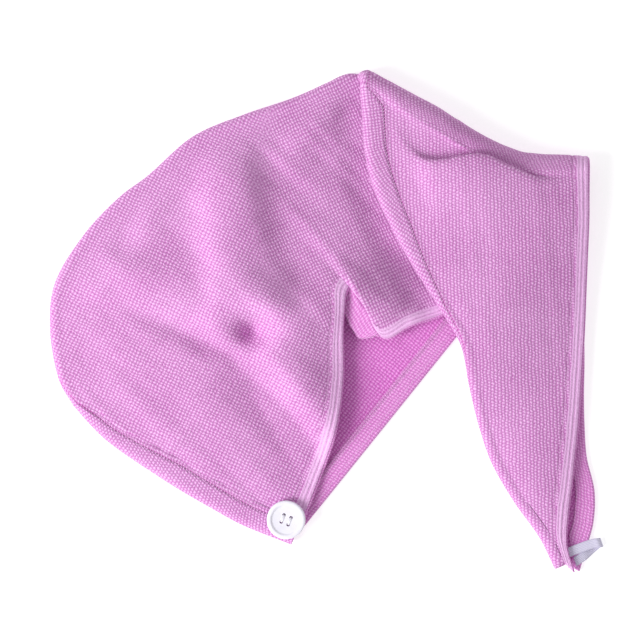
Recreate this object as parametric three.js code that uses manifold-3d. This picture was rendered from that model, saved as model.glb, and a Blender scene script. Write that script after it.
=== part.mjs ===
// A hair turban towel lying on a flat surface, as it is laid down for storage.
// Two matching panels of looped microfibre cloth are sewn together along one long curved seam. The seam
// closes the wide round head end and runs on to the narrow tip. The other long side is open between two
// hems, and the head goes in there. The narrow tail is folded over once, so that it lies on the head part
// with the lower panel's outer face up. A four-hole button sits where the seam meets the opening, and an
// elastic loop at the tip hooks over it when the tail is twisted and laid back over the head.
// Units are millimetres and +Z is up. The origin is on the surface, under the middle of the laid towel.
import * as THREE from "three";
import { mergeVertices } from "three/addons/utils/BufferGeometryUtils.js";
import Module from "manifold-3d";

// The towel as laid, from the left edge to the loop and from the tip to the peak of the fold.
const LAID_WIDTH = 385;
const LAID_DEPTH = 351;

// The cloth, its seam and its hems. EDGE_RADIUS is how softly the cloth turns round at its edges.
const CLOTH = 2;
const SEAM_GAP = 0.4;
const EDGE_RADIUS = 4;
const SEAM_LEAD = 3;
const SEAM_TUCK = 11;
const HEM_WIDTH = 13;
const HEM_CLOTH = 1;
const HEM_GAP = 0.7;

// How high the cloth stands: the head part's dome, its tallest fold and the puff of the tail.
const DOME_RISE = 10;
const FOLD_RISE = 20;
const TAIL_PUFF = 4;
const PLEAT_SLIDE = 8;
const PLEAT_RISE = 9;
const LAYER_AIR = 2;

// How far a slope of cloth takes to settle: at the sewn edge, beside the tail and off the head part.
const EDGE_SETTLE = 30;
const TAIL_SETTLE = 24;
const HEAD_SETTLE = 80;

// The button, its sewing thread and the elastic loop.
const BUTTON_DIAMETER = 27;
const BUTTON_THICKNESS = 3.6;
const BUTTON_DISH = 0.8;
const BUTTON_RIM = 3.2;
const HOLE_DIAMETER = 2.4;
const HOLE_PITCH = 5.2;
const HOLE_TURN = -22;
const THREAD_DIAMETER = 1.1;
const LOOP_WIDTH = 6.5;
const LOOP_CLOTH = 1.1;

// Heights of the middle of each layer. The hem allowances of two layers fit between the layers.
const FLOOR_LAYER = CLOTH / 2;
const HEM_STACK = CLOTH + 2 * HEM_CLOTH + 2 * HEM_GAP + SEAM_GAP;
const EDGE_TOP = FLOOR_LAYER + 2 * EDGE_RADIUS;
const PRESSED_LAYER = FLOOR_LAYER + HEM_STACK + LAYER_AIR / 2;
const TAIL_UNDER_LAYER = PRESSED_LAYER + CLOTH + LAYER_AIR;

// Rows of each grid between two lines of a table, columns across a panel and steps round a soft edge.
const HEAD_STEP = 0.062;
const TAIL_STEP = 0.07;
const COLUMNS = 14;
const EDGE_COLUMNS = 5;
const BEND_STEPS = 3;

// The towel's lines seen from above. x is a share of LAID_WIDTH and y of LAID_DEPTH, from the middle.
// at runs along a line from 0 to 1.
// Round head end, from the left corner to the button.
const HEAD_END = [
  { at: 0, x: -0.458, y: -0.163 },
  { at: 0.12, x: -0.411, y: -0.219 },
  { at: 0.27, x: -0.355, y: -0.266 },
  { at: 0.46, x: -0.28, y: -0.32 },
  { at: 0.66, x: -0.205, y: -0.368 },
  { at: 0.8, x: -0.151, y: -0.4 },
  { at: 1, x: -0.064, y: -0.438 },
];
// Long curved seam of the head part, from the left corner to the peak.
const HEAD_SEAM = [
  { at: 0, x: -0.458, y: -0.163 },
  { at: 0.06, x: -0.485, y: -0.109 },
  { at: 0.13, x: -0.5, y: -0.013 },
  { at: 0.2, x: -0.491, y: 0.081 },
  { at: 0.27, x: -0.438, y: 0.177 },
  { at: 0.33, x: -0.376, y: 0.249 },
  { at: 0.38, x: -0.324, y: 0.292 },
  { at: 0.45, x: -0.245, y: 0.368 },
  { at: 0.53, x: -0.158, y: 0.41 },
  { at: 0.64, x: -0.067, y: 0.444 },
  { at: 0.8, x: -0.004, y: 0.474 },
  { at: 0.92, x: 0.035, y: 0.494 },
  { at: 1, x: 0.066, y: 0.494 },
];
// Hem of the lower panel: straight, from the button's corner to the fold of the tail.
const LOWER_HEM = [
  { at: 0, x: -0.064, y: -0.438, fromX: -0.16, fromY: -0.38 },
  { at: 0.5, x: 0.204, y: -0.054, fromX: 0.09, fromY: 0.05 },
  { at: 1, x: 0.471, y: 0.33, fromX: 0.4, fromY: 0.34 },
];
// Hem of the upper panel: up one side of the slack fold, down the other and on under the tail. fromX
// and fromY are the place that the cloth comes from towards each point of the hem.
const UPPER_HEM = [
  { at: 0, x: -0.056, y: -0.415, fromX: -0.15, fromY: -0.38 },
  { at: 0.08, x: -0.031, y: -0.352, fromX: -0.13, fromY: -0.325 },
  { at: 0.165, x: 0.007, y: -0.233, fromX: -0.1, fromY: -0.21 },
  { at: 0.247, x: 0.022, y: -0.127, fromX: -0.08, fromY: -0.11 },
  { at: 0.33, x: 0.023, y: -0.03, fromX: -0.055, fromY: -0.02 },
  { at: 0.38, x: 0.026, y: 0.025, fromX: -0.03, fromY: 0.045 },
  { at: 0.405, x: 0.029, y: 0.05, fromX: -0.008, fromY: 0.085 },
  { at: 0.43, x: 0.038, y: 0.064, fromX: 0.02, fromY: 0.115 },
  { at: 0.455, x: 0.05, y: 0.048, fromX: 0.055, fromY: 0.105 },
  { at: 0.48, x: 0.067, y: 0.023, fromX: 0.085, fromY: 0.08 },
  { at: 0.545, x: 0.1, y: -0.035, fromX: 0.115, fromY: 0.045 },
  { at: 0.602, x: 0.149, y: -0.009, fromX: 0.125, fromY: 0.08 },
  { at: 0.697, x: 0.233, y: 0.031, fromX: 0.195, fromY: 0.13 },
  { at: 1, x: 0.405, y: 0.245, fromX: 0.35, fromY: 0.28 },
];
// Where each panel turns back on itself, from the seam to the hem.
const LOWER_FOLD = [
  { at: 0, x: 0.1, y: 0.462 },
  { at: 0.38, x: 0.205, y: 0.41 },
  { at: 0.7, x: 0.342, y: 0.334 },
  { at: 1, x: 0.471, y: 0.33 },
];
const UPPER_FOLD = [
  { at: 0, x: 0.075, y: 0.474 },
  { at: 0.35, x: 0.178, y: 0.39 },
  { at: 0.7, x: 0.305, y: 0.3 },
  { at: 1, x: 0.405, y: 0.245 },
];
// The folded tail, from the fold to the tip: its left edge, and the hems of its top and under layers.
const TAIL_ROWS = [
  { at: 0, edgeX: 0.062, edgeY: 0.47, topX: 0.471, topY: 0.33, underX: 0.405, underY: 0.245 },
  { at: 0.08, edgeX: 0.065, edgeY: 0.418, topX: 0.471, topY: 0.267, underX: 0.427, underY: 0.215 },
  { at: 0.16, edgeX: 0.071, edgeY: 0.332, topX: 0.471, topY: 0.203, underX: 0.441, underY: 0.175 },
  { at: 0.24, edgeX: 0.09, edgeY: 0.256, topX: 0.469, topY: 0.137, underX: 0.452, underY: 0.12 },
  { at: 0.32, edgeX: 0.123, edgeY: 0.18, topX: 0.467, topY: 0.07, underX: 0.46, underY: 0.06 },
  { at: 0.4, edgeX: 0.16, edgeY: 0.109, topX: 0.465, topY: 0.003, underX: 0.463, underY: -0.01 },
  { at: 0.48, edgeX: 0.203, edgeY: 0.035, topX: 0.462, topY: -0.063, underX: 0.464, underY: -0.075 },
  { at: 0.56, edgeX: 0.243, edgeY: -0.04, topX: 0.458, topY: -0.129, underX: 0.463, underY: -0.14 },
  { at: 0.64, edgeX: 0.259, edgeY: -0.12, topX: 0.454, topY: -0.193, underX: 0.464, underY: -0.2 },
  { at: 0.72, edgeX: 0.277, edgeY: -0.2, topX: 0.448, topY: -0.258, underX: 0.468, underY: -0.265 },
  { at: 0.8, edgeX: 0.301, edgeY: -0.276, topX: 0.442, topY: -0.32, underX: 0.482, underY: -0.332 },
  { at: 0.88, edgeX: 0.342, edgeY: -0.354, topX: 0.435, topY: -0.385, underX: 0.48, underY: -0.396 },
  { at: 0.95, edgeX: 0.388, edgeY: -0.425, topX: 0.433, topY: -0.442, underX: 0.466, underY: -0.45 },
  { at: 1, edgeX: 0.416, edgeY: -0.487, topX: 0.446, topY: -0.492, underX: 0.455, underY: -0.492 },
];

// Where the seam lies round the soft edge. turn is the share of the half turn that the lower panel
// takes, and tuck how much further the seam lies in over the edge, as a share of SEAM_TUCK: on the
// upper side of the lower panel's roll where it is positive, and of the folded tail's where negative.
// at is 0 at the button, 1 at the left corner, 2 at the peak, 2.1 after the fold and 3.1 at the tip.
const SEAM_PLACE = [
  { at: 0, turn: 1, tuck: 0.9 },
  { at: 0.55, turn: 1, tuck: 1 },
  { at: 0.92, turn: 1, tuck: 0.35 },
  { at: 1.02, turn: 0.85, tuck: 0 },
  { at: 1.12, turn: 0.5, tuck: 0 },
  { at: 1.78, turn: 0.5, tuck: 0 },
  { at: 2, turn: 0, tuck: 0 },
  { at: 2.1, turn: 0, tuck: 0 },
  { at: 2.17, turn: 0, tuck: -1 },
  { at: 2.34, turn: 0, tuck: -1 },
  { at: 2.42, turn: 0, tuck: -0.8 },
  { at: 2.5, turn: 0, tuck: -0.4 },
  { at: 2.58, turn: 0, tuck: 0 },
  { at: 2.78, turn: 0.5, tuck: 0 },
  { at: 3.1, turn: 0.5, tuck: 0 },
];

// Folds of the upper panel. Each follows a line of places, as shares of the laid sizes. rise is a share
// of FOLD_RISE at each place and is negative in a valley. left and right are how wide it spreads on
// each side of its line, as shares of LAID_WIDTH.
const FOLDS = [
  {
    name: "long ridge from the back edge",
    left: 0.032,
    right: 0.06,
    line: [
      { x: -0.118, y: 0.438, rise: 0.1 },
      { x: -0.147, y: 0.376, rise: 0.24 },
      { x: -0.151, y: 0.296, rise: 0.34 },
      { x: -0.142, y: 0.227, rise: 0.35 },
      { x: -0.127, y: 0.167, rise: 0.3 },
      { x: -0.107, y: 0.111, rise: 0.18 },
      { x: -0.089, y: 0.063, rise: 0.05 },
    ],
  },
  {
    name: "ridge beside it down to the dimple",
    left: 0.06,
    right: 0.03,
    line: [
      { x: -0.198, y: 0.37, rise: 0.14 },
      { x: -0.205, y: 0.296, rise: 0.3 },
      { x: -0.202, y: 0.217, rise: 0.36 },
      { x: -0.196, y: 0.137, rise: 0.36 },
      { x: -0.191, y: 0.067, rise: 0.3 },
      { x: -0.193, y: 0.011, rise: 0.26 },
      { x: -0.191, y: -0.037, rise: 0.1 },
    ],
  },
  {
    name: "crest of the slack fold",
    left: 0.055,
    right: 0.05,
    line: [
      { x: -0.165, y: 0.123, rise: 0.12 },
      { x: -0.144, y: 0.071, rise: 0.4 },
      { x: -0.1, y: 0.033, rise: 0.75 },
      { x: -0.049, y: 0.019, rise: 0.9 },
      { x: -0.005, y: 0.035, rise: 0.9 },
      { x: 0.035, y: 0.059, rise: 0.85 },
      { x: 0.085, y: 0.047, rise: 0.6 },
      { x: 0.147, y: 0.027, rise: 0.15 },
    ],
  },
  {
    name: "lower ridge of the slack fold",
    left: 0.06,
    right: 0.032,
    line: [
      { x: -0.125, y: -0.013, rise: 0.25 },
      { x: -0.095, y: -0.057, rise: 0.45 },
      { x: -0.053, y: -0.113, rise: 0.5 },
      { x: -0.016, y: -0.169, rise: 0.42 },
      { x: 0.013, y: -0.217, rise: 0.3 },
    ],
  },
  {
    name: "valley under the slack fold",
    left: 0.026,
    right: 0.04,
    line: [
      { x: -0.209, y: -0.057, rise: -0.1 },
      { x: -0.149, y: -0.103, rise: -0.28 },
      { x: -0.095, y: -0.163, rise: -0.36 },
      { x: -0.056, y: -0.219, rise: -0.34 },
      { x: -0.025, y: -0.292, rise: -0.15 },
    ],
  },
  {
    name: "ridge from the left edge",
    left: 0.04,
    right: 0.045,
    line: [
      { x: -0.495, y: 0.063, rise: 0.12 },
      { x: -0.422, y: 0.091, rise: 0.24 },
      { x: -0.34, y: 0.097, rise: 0.26 },
      { x: -0.271, y: 0.071, rise: 0.2 },
      { x: -0.222, y: 0.017, rise: 0.12 },
    ],
  },
  {
    name: "crease that runs into the dimple",
    left: 0.018,
    right: 0.022,
    line: [
      { x: -0.385, y: 0.037, rise: -0.05 },
      { x: -0.322, y: 0.011, rise: -0.15 },
      { x: -0.258, y: -0.015, rise: -0.26 },
      { x: -0.209, y: -0.039, rise: -0.32 },
      { x: -0.173, y: -0.053, rise: -0.2 },
    ],
  },
  {
    name: "valley at the back edge",
    left: 0.02,
    right: 0.02,
    line: [
      { x: -0.349, y: 0.254, rise: -0.2 },
      { x: -0.356, y: 0.217, rise: -0.2 },
      { x: -0.376, y: 0.161, rise: -0.1 },
    ],
  },
  {
    name: "ridge down from the peak",
    left: 0.03,
    right: 0.045,
    line: [
      { x: 0.02, y: 0.47, rise: 0.5 },
      { x: -0.002, y: 0.434, rise: 0.6 },
      { x: -0.035, y: 0.39, rise: 0.45 },
      { x: -0.075, y: 0.338, rise: 0.15 },
    ],
  },
  {
    name: "low ridge at the back edge",
    left: 0.03,
    right: 0.03,
    line: [
      { x: -0.307, y: 0.29, rise: 0.1 },
      { x: -0.322, y: 0.217, rise: 0.12 },
      { x: -0.34, y: 0.147, rise: 0.06 },
    ],
  },
];

// The dimple where the ridges meet, with its width as a share of LAID_WIDTH.
const DIMPLE = { x: -0.133, y: -0.013, sink: 1, width: 0.028 };

// How the head part's dome rises across the panel, from the seam to the hem.
const DOME_ACROSS = [
  { at: 0, rise: 0 },
  { at: 0.25, rise: 0.75 },
  { at: 0.5, rise: 1 },
  { at: 0.8, rise: 0.55 },
  { at: 1, rise: 0.15 },
];
// The same along the panel, from the head end to the fold.
const DOME_ALONG = [
  { at: 0, rise: 0 },
  { at: 0.15, rise: 0.5 },
  { at: 0.3, rise: 1 },
  { at: 0.42, rise: 0.95 },
  { at: 0.56, rise: 0.7 },
  { at: 0.7, rise: 0.25 },
  { at: 0.85, rise: 0 },
  { at: 1, rise: 0 },
];

// The pleat in the top of the folded tail: how far the cloth slides back towards the fold, as a share
// of PLEAT_SLIDE, and how it rises, as a share of PLEAT_RISE. at is the place along the tail, and bow
// says how fully the pleat's slant across the tail moves that place.
const PLEAT = [
  { at: 0, slide: 0, rise: 0, bow: 0 },
  { at: 0.035, slide: 0, rise: 0.1, bow: 0.4 },
  { at: 0.07, slide: 0, rise: -0.15, bow: 0.9 },
  { at: 0.085, slide: 0.3, rise: 0.1, bow: 1 },
  { at: 0.1, slide: 0.95, rise: 0.75, bow: 1 },
  { at: 0.12, slide: 1, rise: 1, bow: 0.95 },
  { at: 0.155, slide: 0.5, rise: 0.9, bow: 0.8 },
  { at: 0.21, slide: 0.15, rise: 0.5, bow: 0.5 },
  { at: 0.3, slide: 0, rise: 0.1, bow: 0.15 },
  { at: 0.4, slide: 0, rise: 0, bow: 0 },
];
// The same across the tail, from its left edge to its hem. slant is the move of at where bow is 1.
const PLEAT_ACROSS = [
  { at: 0, share: 0, slant: 0 },
  { at: 0.1, share: 0.2, slant: 0.05 },
  { at: 0.2, share: 0.8, slant: 0.07 },
  { at: 0.45, share: 1, slant: 0.035 },
  { at: 0.68, share: 0.6, slant: -0.015 },
  { at: 0.85, share: 0.15, slant: -0.03 },
  { at: 1, share: 0, slant: -0.03 },
];

// The elastic loop's way, from one sewn end inside the tip, out, round and back to the other.
// height is a share of the space between the tail's two layers.
const LOOP_WAY = [
  { at: 0, x: 0.437, y: -0.456, height: 0.5 },
  { at: 0.2, x: 0.458, y: -0.447, height: 0.5 },
  { at: 0.38, x: 0.482, y: -0.438, height: 0.42 },
  { at: 0.47, x: 0.493, y: -0.436, height: 0.4 },
  { at: 0.5, x: 0.498, y: -0.436, height: 0.22 },
  { at: 0.53, x: 0.494, y: -0.438, height: 0.04 },
  { at: 0.65, x: 0.482, y: -0.448, height: 0.02 },
  { at: 0.8, x: 0.466, y: -0.463, height: 0.32 },
  { at: 1, x: 0.45, y: -0.474, height: 0.35 },
];

const clamp = THREE.MathUtils.clamp;
const mix = THREE.MathUtils.lerp;
const settle = (value, from, to) => THREE.MathUtils.smoothstep(value, from, to);

// The value of a table's column at a place, on a smooth curve through the rows.
function smooth(table, column, at) {
  const last = table.length - 1;
  const place = clamp(at, table[0].at, table[last].at);
  let i = 0;
  while (i < last - 1 && place > table[i + 1].at) i++;
  const slope = (k) => {
    const before = table[Math.max(k - 1, 0)];
    const after = table[Math.min(k + 1, last)];
    return (after[column] - before[column]) / (after.at - before.at);
  };
  const span = table[i + 1].at - table[i].at;
  const s = (place - table[i].at) / span;
  return (
    table[i][column] * (1 + 2 * s) * (1 - s) ** 2 +
    slope(i) * span * s * (1 - s) ** 2 +
    table[i + 1][column] * s * s * (3 - 2 * s) +
    slope(i + 1) * span * s * s * (s - 1)
  );
}

// The same on straight lines between the rows.
function straight(table, column, at) {
  const last = table.length - 1;
  const place = clamp(at, table[0].at, table[last].at);
  let i = 0;
  while (i < last - 1 && place > table[i + 1].at) i++;
  const s = (place - table[i].at) / (table[i + 1].at - table[i].at);
  return mix(table[i][column], table[i + 1][column], s);
}

// A place on a line seen from above, in millimetres.
const onLine = (table, at, x = "x", y = "y") =>
  new THREE.Vector2(smooth(table, x, at) * LAID_WIDTH, smooth(table, y, at) * LAID_DEPTH);

// The head part's sewn outline as one line: 0 at the button, 1 at the left corner, 2 at the peak.
const outline = (s) => (s <= 1 ? onLine(HEAD_END, 1 - s) : onLine(HEAD_SEAM, s - 1));

// The way the outline runs, and a point of it moved in towards the middle of the head part.
const outlineWay = (s) => outline(Math.min(s + 0.04, 2)).sub(outline(Math.max(s - 0.04, 0))).normalize();
const movedRight = (place, way, distance) =>
  place.add(new THREE.Vector2(way.y, -way.x).multiplyScalar(distance));
const insideOutline = (s, distance) => movedRight(outline(s), outlineWay(s), distance);

// The same for the tail's left edge, which runs from the fold to the tip.
const tailLeft = (at) => onLine(TAIL_ROWS, at, "edgeX", "edgeY");
const tailWidth = (at) => tailLeft(at).distanceTo(onLine(TAIL_ROWS, at, "underX", "underY"));
const tailWay = (at) => tailLeft(Math.max(at - 0.04, 0)).sub(tailLeft(Math.min(at + 0.04, 1))).normalize();
const insideTail = (at, distance) => movedRight(tailLeft(at), tailWay(at), distance);

// The distance from a point to a line of points, with the part of it that is off to the right and the
// share of the way at the nearest point.
function fromLine(points, place) {
  let nearest = { distance: Infinity, aside: 0, way: 0 };
  for (let i = 0; i + 1 < points.length; i++) {
    const step = points[i + 1].clone().sub(points[i]);
    const off = place.clone().sub(points[i]);
    const s = clamp(off.dot(step) / step.lengthSq(), 0, 1);
    const distance = off.clone().sub(step.clone().multiplyScalar(s)).length();
    if (distance < nearest.distance) {
      const aside = (off.x * step.y - off.y * step.x) / step.length();
      nearest = { distance, aside, way: (i + s) / (points.length - 1) };
    }
  }
  return nearest;
}

// The same distance, negative on the left of the line.
function signedDistance(points, place) {
  const { distance, aside } = fromLine(points, place);
  return aside < 0 ? -distance : distance;
}

const sampled = (count, point) => Array.from({ length: count + 1 }, (_, i) => point(i / count));
const foldLines = FOLDS.map((fold) => {
  const rows = fold.line.map((row, i) => ({ ...row, at: i / (fold.line.length - 1) }));
  return { ...fold, rows, points: sampled(24, (at) => onLine(rows, at)) };
});
const tailEdge = sampled(40, tailLeft);
const lowerHemLine = [onLine(LOWER_HEM, 0), onLine(LOWER_HEM, 1)];
const headOutline = sampled(60, (at) => outline(2 * at));

// The sum of the upper panel's folds at a place: a rounded ridge falls off on both sides of its line.
function foldsAt(place) {
  let rise = 0;
  for (const fold of foldLines) {
    const { distance, aside, way } = fromLine(fold.points, place);
    const toRight = (1 + aside / Math.max(distance, 1e-6)) / 2;
    const width = mix(fold.left, fold.right, toRight) * LAID_WIDTH;
    rise += smooth(fold.rows, "rise", way) * Math.exp(-((distance / width) ** 2));
  }
  const toDimple = place.distanceTo(new THREE.Vector2(DIMPLE.x * LAID_WIDTH, DIMPLE.y * LAID_DEPTH));
  return rise - DIMPLE.sink * Math.exp(-((toDimple / (DIMPLE.width * LAID_WIDTH)) ** 2));
}

// The height of the upper panel over the head part.
function upperHeadHeight(place, u, v) {
  const nearest = fromLine(headOutline, place);
  const edge = nearest.distance - inset(2 * nearest.way, true);
  const free = settle(edge, 0, EDGE_SETTLE);
  const dome = DOME_RISE * smooth(DOME_ACROSS, "rise", v) * smooth(DOME_ALONG, "rise", u);
  const stands = Math.max(EDGE_TOP + dome + free * FOLD_RISE * foldsAt(place), PRESSED_LAYER);
  const pressed = settle(-signedDistance(tailEdge, place), -TAIL_SETTLE, -CLOTH);
  return mix(stands, PRESSED_LAYER, pressed);
}

// How much of the tail lies on the head part at a place: 1 on it and 0 on the bare surface.
const onHead = (place) => settle(-signedDistance(lowerHemLine, place), -HEAD_SETTLE, 0);

// The heights of the folded tail's two layers.
const tailUnderHeight = (place) => mix(FLOOR_LAYER, TAIL_UNDER_LAYER, onHead(place));
function tailTopHeight(place, at, v) {
  const apart = mix(2 * EDGE_RADIUS, HEM_STACK + LAYER_AIR, v);
  const taper = settle(1 - at, 0, 0.3);
  const puff = TAIL_PUFF * taper * 4 * v * (1 - v);
  const pleat = PLEAT_RISE * smooth(PLEAT, "rise", at) * smooth(PLEAT_ACROSS, "share", v);
  return tailUnderHeight(place) + apart + puff + pleat;
}

// Places from 0 to 1 that hold every row of a table and are nowhere further apart than a step.
function stations(table, step) {
  const places = [];
  table.slice(1).forEach((row, i) => {
    const from = table[i].at;
    const count = Math.ceil((row.at - from) / step - 1e-9);
    for (let k = 0; k < count; k++) places.push(from + ((row.at - from) * k) / count);
  });
  return [...places, table[table.length - 1].at];
}

const TAIL_STATIONS = PLEAT.filter((row) => row.at < TAIL_ROWS[4].at).concat(TAIL_ROWS.slice(4));

// A patch between four lines that meet at its corners: two along u and two along v. Its rows bend so
// that they reach the hem from the places of a third line.
function betweenLines(seam, hem, from, start, end, u, v) {
  const row = (at) => {
    const turn = seam(at).lerp(from(at), 1 / 3);
    return seam(at)
      .multiplyScalar((1 - v) ** 3)
      .add(turn.multiplyScalar(3 * v * (1 - v) ** 2))
      .add(from(at).multiplyScalar(3 * v * v * (1 - v)))
      .add(hem(at).multiplyScalar(v ** 3));
  };
  return row(u).add(start(v).sub(row(0)).multiplyScalar(1 - u)).add(end(v).sub(row(1)).multiplyScalar(u));
}

// A line moved so that it starts and ends at two given points.
const fitted = (line, from, to) => (at) =>
  line(at)
    .add(from.clone().sub(line(0)).multiplyScalar(1 - at))
    .add(to.clone().sub(line(1)).multiplyScalar(at));

// How far in a panel's own surface starts from the outline: past the soft edge, and past the seam where
// the seam lies on that panel's side.
function inset(s, upper) {
  const tuck = straight(SEAM_PLACE, "tuck", s);
  return EDGE_RADIUS + SEAM_LEAD + SEAM_TUCK * Math.max(upper ? tuck : -tuck, 0);
}

// One panel's middle surface as rows of points from the seam side to the hem, over the head part,
// round the fold and down the tail.
function panelRows(panel) {
  const upper = panel === "upper";
  const hemTable = upper ? UPPER_HEM : LOWER_HEM;
  const foldTable = upper ? UPPER_FOLD : LOWER_FOLD;
  const hemX = upper ? "underX" : "topX";
  const hemY = upper ? "underY" : "topY";

  // The tail's rows run straight from the inset left edge to the hem.
  const tailPoint = (at, v) => {
    const from = insideTail(at, Math.min(inset(2.1 + at, upper), tailWidth(at) * 0.6));
    return from.lerp(onLine(TAIL_ROWS, at, hemX, hemY), v);
  };
  const foldLine = fitted((v) => onLine(foldTable, v), tailPoint(0, 0), tailPoint(0, 1));

  // Height of the layer on each side of the fold, and the fold's line moved in by its radius.
  const headHeight = (place, u, v) => (upper ? upperHeadHeight(place, u, v) : FLOOR_LAYER);
  const tailHeight = (place, at, v) => (upper ? tailUnderHeight(place) : tailTopHeight(place, at, v));
  const foldFrame = (v) => {
    const place = foldLine(v);
    const along = foldLine(Math.min(v + 0.05, 1)).sub(foldLine(Math.max(v - 0.05, 0))).normalize();
    const out = new THREE.Vector2(-along.y, along.x);
    const top = tailHeight(place, 0, v);
    const bottom = upper ? PRESSED_LAYER : FLOOR_LAYER;
    const radius = (top - bottom) / 2;
    return { centre: place.clone().sub(out.clone().multiplyScalar(radius)), out, radius, bottom, top };
  };

  const start = (v) => insideOutline(1 - v, inset(1 - v, upper));
  const seam = (u) => insideOutline(1 + u, inset(1 + u, upper));
  const hemLine = fitted((u) => onLine(hemTable, u), start(1), foldFrame(1).centre);
  const hemFrom = (u) => onLine(hemTable, u, "fromX", "fromY");
  const foldRow = fitted((v) => foldFrame(v).centre, seam(1), foldFrame(1).centre);

  const headRow = (u) => (v) => {
    const place = betweenLines(seam, hemLine, hemFrom, start, foldRow, u, v);
    return new THREE.Vector3(place.x, place.y, headHeight(place, u, v));
  };
  // The step between the two at the seam side, which the bend takes up.
  const shift = (v) => tailPoint(0, 0).sub(foldRow(0)).multiplyScalar((1 - v) ** 3);
  const bendRow = (share) => (v) => {
    const { out, radius, bottom } = foldFrame(v);
    const angle = Math.PI * (share - 0.5);
    const place = foldRow(v).add(out.multiplyScalar(radius * Math.cos(angle)));
    place.add(shift(v).multiplyScalar(share));
    return new THREE.Vector3(place.x, place.y, bottom + radius * (1 + Math.sin(angle)));
  };
  const tailRow = (nominal) => (v) => {
    const slant = upper ? 0 : smooth(PLEAT, "bow", nominal) * smooth(PLEAT_ACROSS, "slant", v);
    const at = nominal + slant;
    const near = 1 - settle(at, 0, 0.16);
    const way = tailPoint(Math.min(at + 0.02, 1), 0.5).sub(tailPoint(Math.max(at - 0.02, 0), 0.5));
    const bow = foldRow(v).add(shift(v)).sub(tailPoint(0, v));
    const place = tailPoint(at, v).add(bow.multiplyScalar(near));
    const height = tailHeight(place, nominal, v);
    if (!upper) {
      const slide = PLEAT_SLIDE * smooth(PLEAT, "slide", nominal) * smooth(PLEAT_ACROSS, "share", v);
      place.sub(way.normalize().multiplyScalar(slide));
    }
    return new THREE.Vector3(place.x, place.y, height);
  };
  const bends = sampled(BEND_STEPS + 1, (share) => share).slice(1, -1);
  return [
    { station: 1, points: hemWays((v) => outline(1 - v)).map(headRow(0)) },
    ...stations(UPPER_HEM, HEAD_STEP).slice(1).map((u) => ({ station: 1 + u, row: headRow(u) })),
    ...bends.map((share) => ({ station: 2 + 0.1 * share, row: bendRow(share) })),
    ...stations(TAIL_STATIONS, TAIL_STEP).map((at) => ({ station: 2.1 + at, row: tailRow(at) })),
  ].map(({ station, points, row }) => ({ station, points: points ?? hemWays(row).map(row) }));
}

// Places along a row that are evenly far apart but for the last two steps, which are the hem's.
function hemWays(row) {
  const rough = sampled(60, row);
  const lengths = [0];
  rough.slice(1).forEach((point, k) => lengths.push(lengths[k] + point.distanceTo(rough[k])));
  const total = lengths[60];
  const hem = Math.min(HEM_WIDTH, total * 0.35);
  return sampled(COLUMNS, (share) => {
    const left = Math.round((1 - share) * COLUMNS);
    const length = left < 2 ? total - (hem * left) / 2 : ((total - hem) * (COLUMNS - left)) / (COLUMNS - 2);
    let k = 0;
    while (k < 59 && lengths[k + 1] < length) k++;
    return (k + (length - lengths[k]) / (lengths[k + 1] - lengths[k])) / 60;
  });
}

// A surface of four-sided cells with the normal of each point, averaged over the cells round it.
function normalsOf(points, cells) {
  const normals = points.map(() => new THREE.Vector3());
  for (const [a, b, c, d] of cells) {
    const cross = points[c].clone().sub(points[a]).cross(points[d].clone().sub(points[b]));
    [a, b, c, d].forEach((k) => normals[k].add(cross));
  }
  return normals.map((n) => n.normalize());
}

// A cell turned so that its first and third corners are the ends of the crease that bends it less.
function flatter(points, [a, b, c, d]) {
  const side = (p, q) => points[q].clone().sub(points[p]);
  const facing = (p, q, r) => side(p, q).cross(side(p, r)).normalize();
  const first = facing(a, b, c).dot(facing(a, c, d));
  const second = facing(b, c, d).dot(facing(b, d, a));
  return first >= second ? [a, b, c, d] : [b, c, d, a];
}

// The cells of a grid of points, row by row.
function gridCells(points) {
  const cells = [];
  for (let at = 0; at + COLUMNS + 2 < points.length; at++) {
    if (at % (COLUMNS + 1) === COLUMNS) continue;
    cells.push(flatter(points, [at, at + COLUMNS + 1, at + COLUMNS + 2, at + 1]));
  }
  return cells;
}

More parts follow.
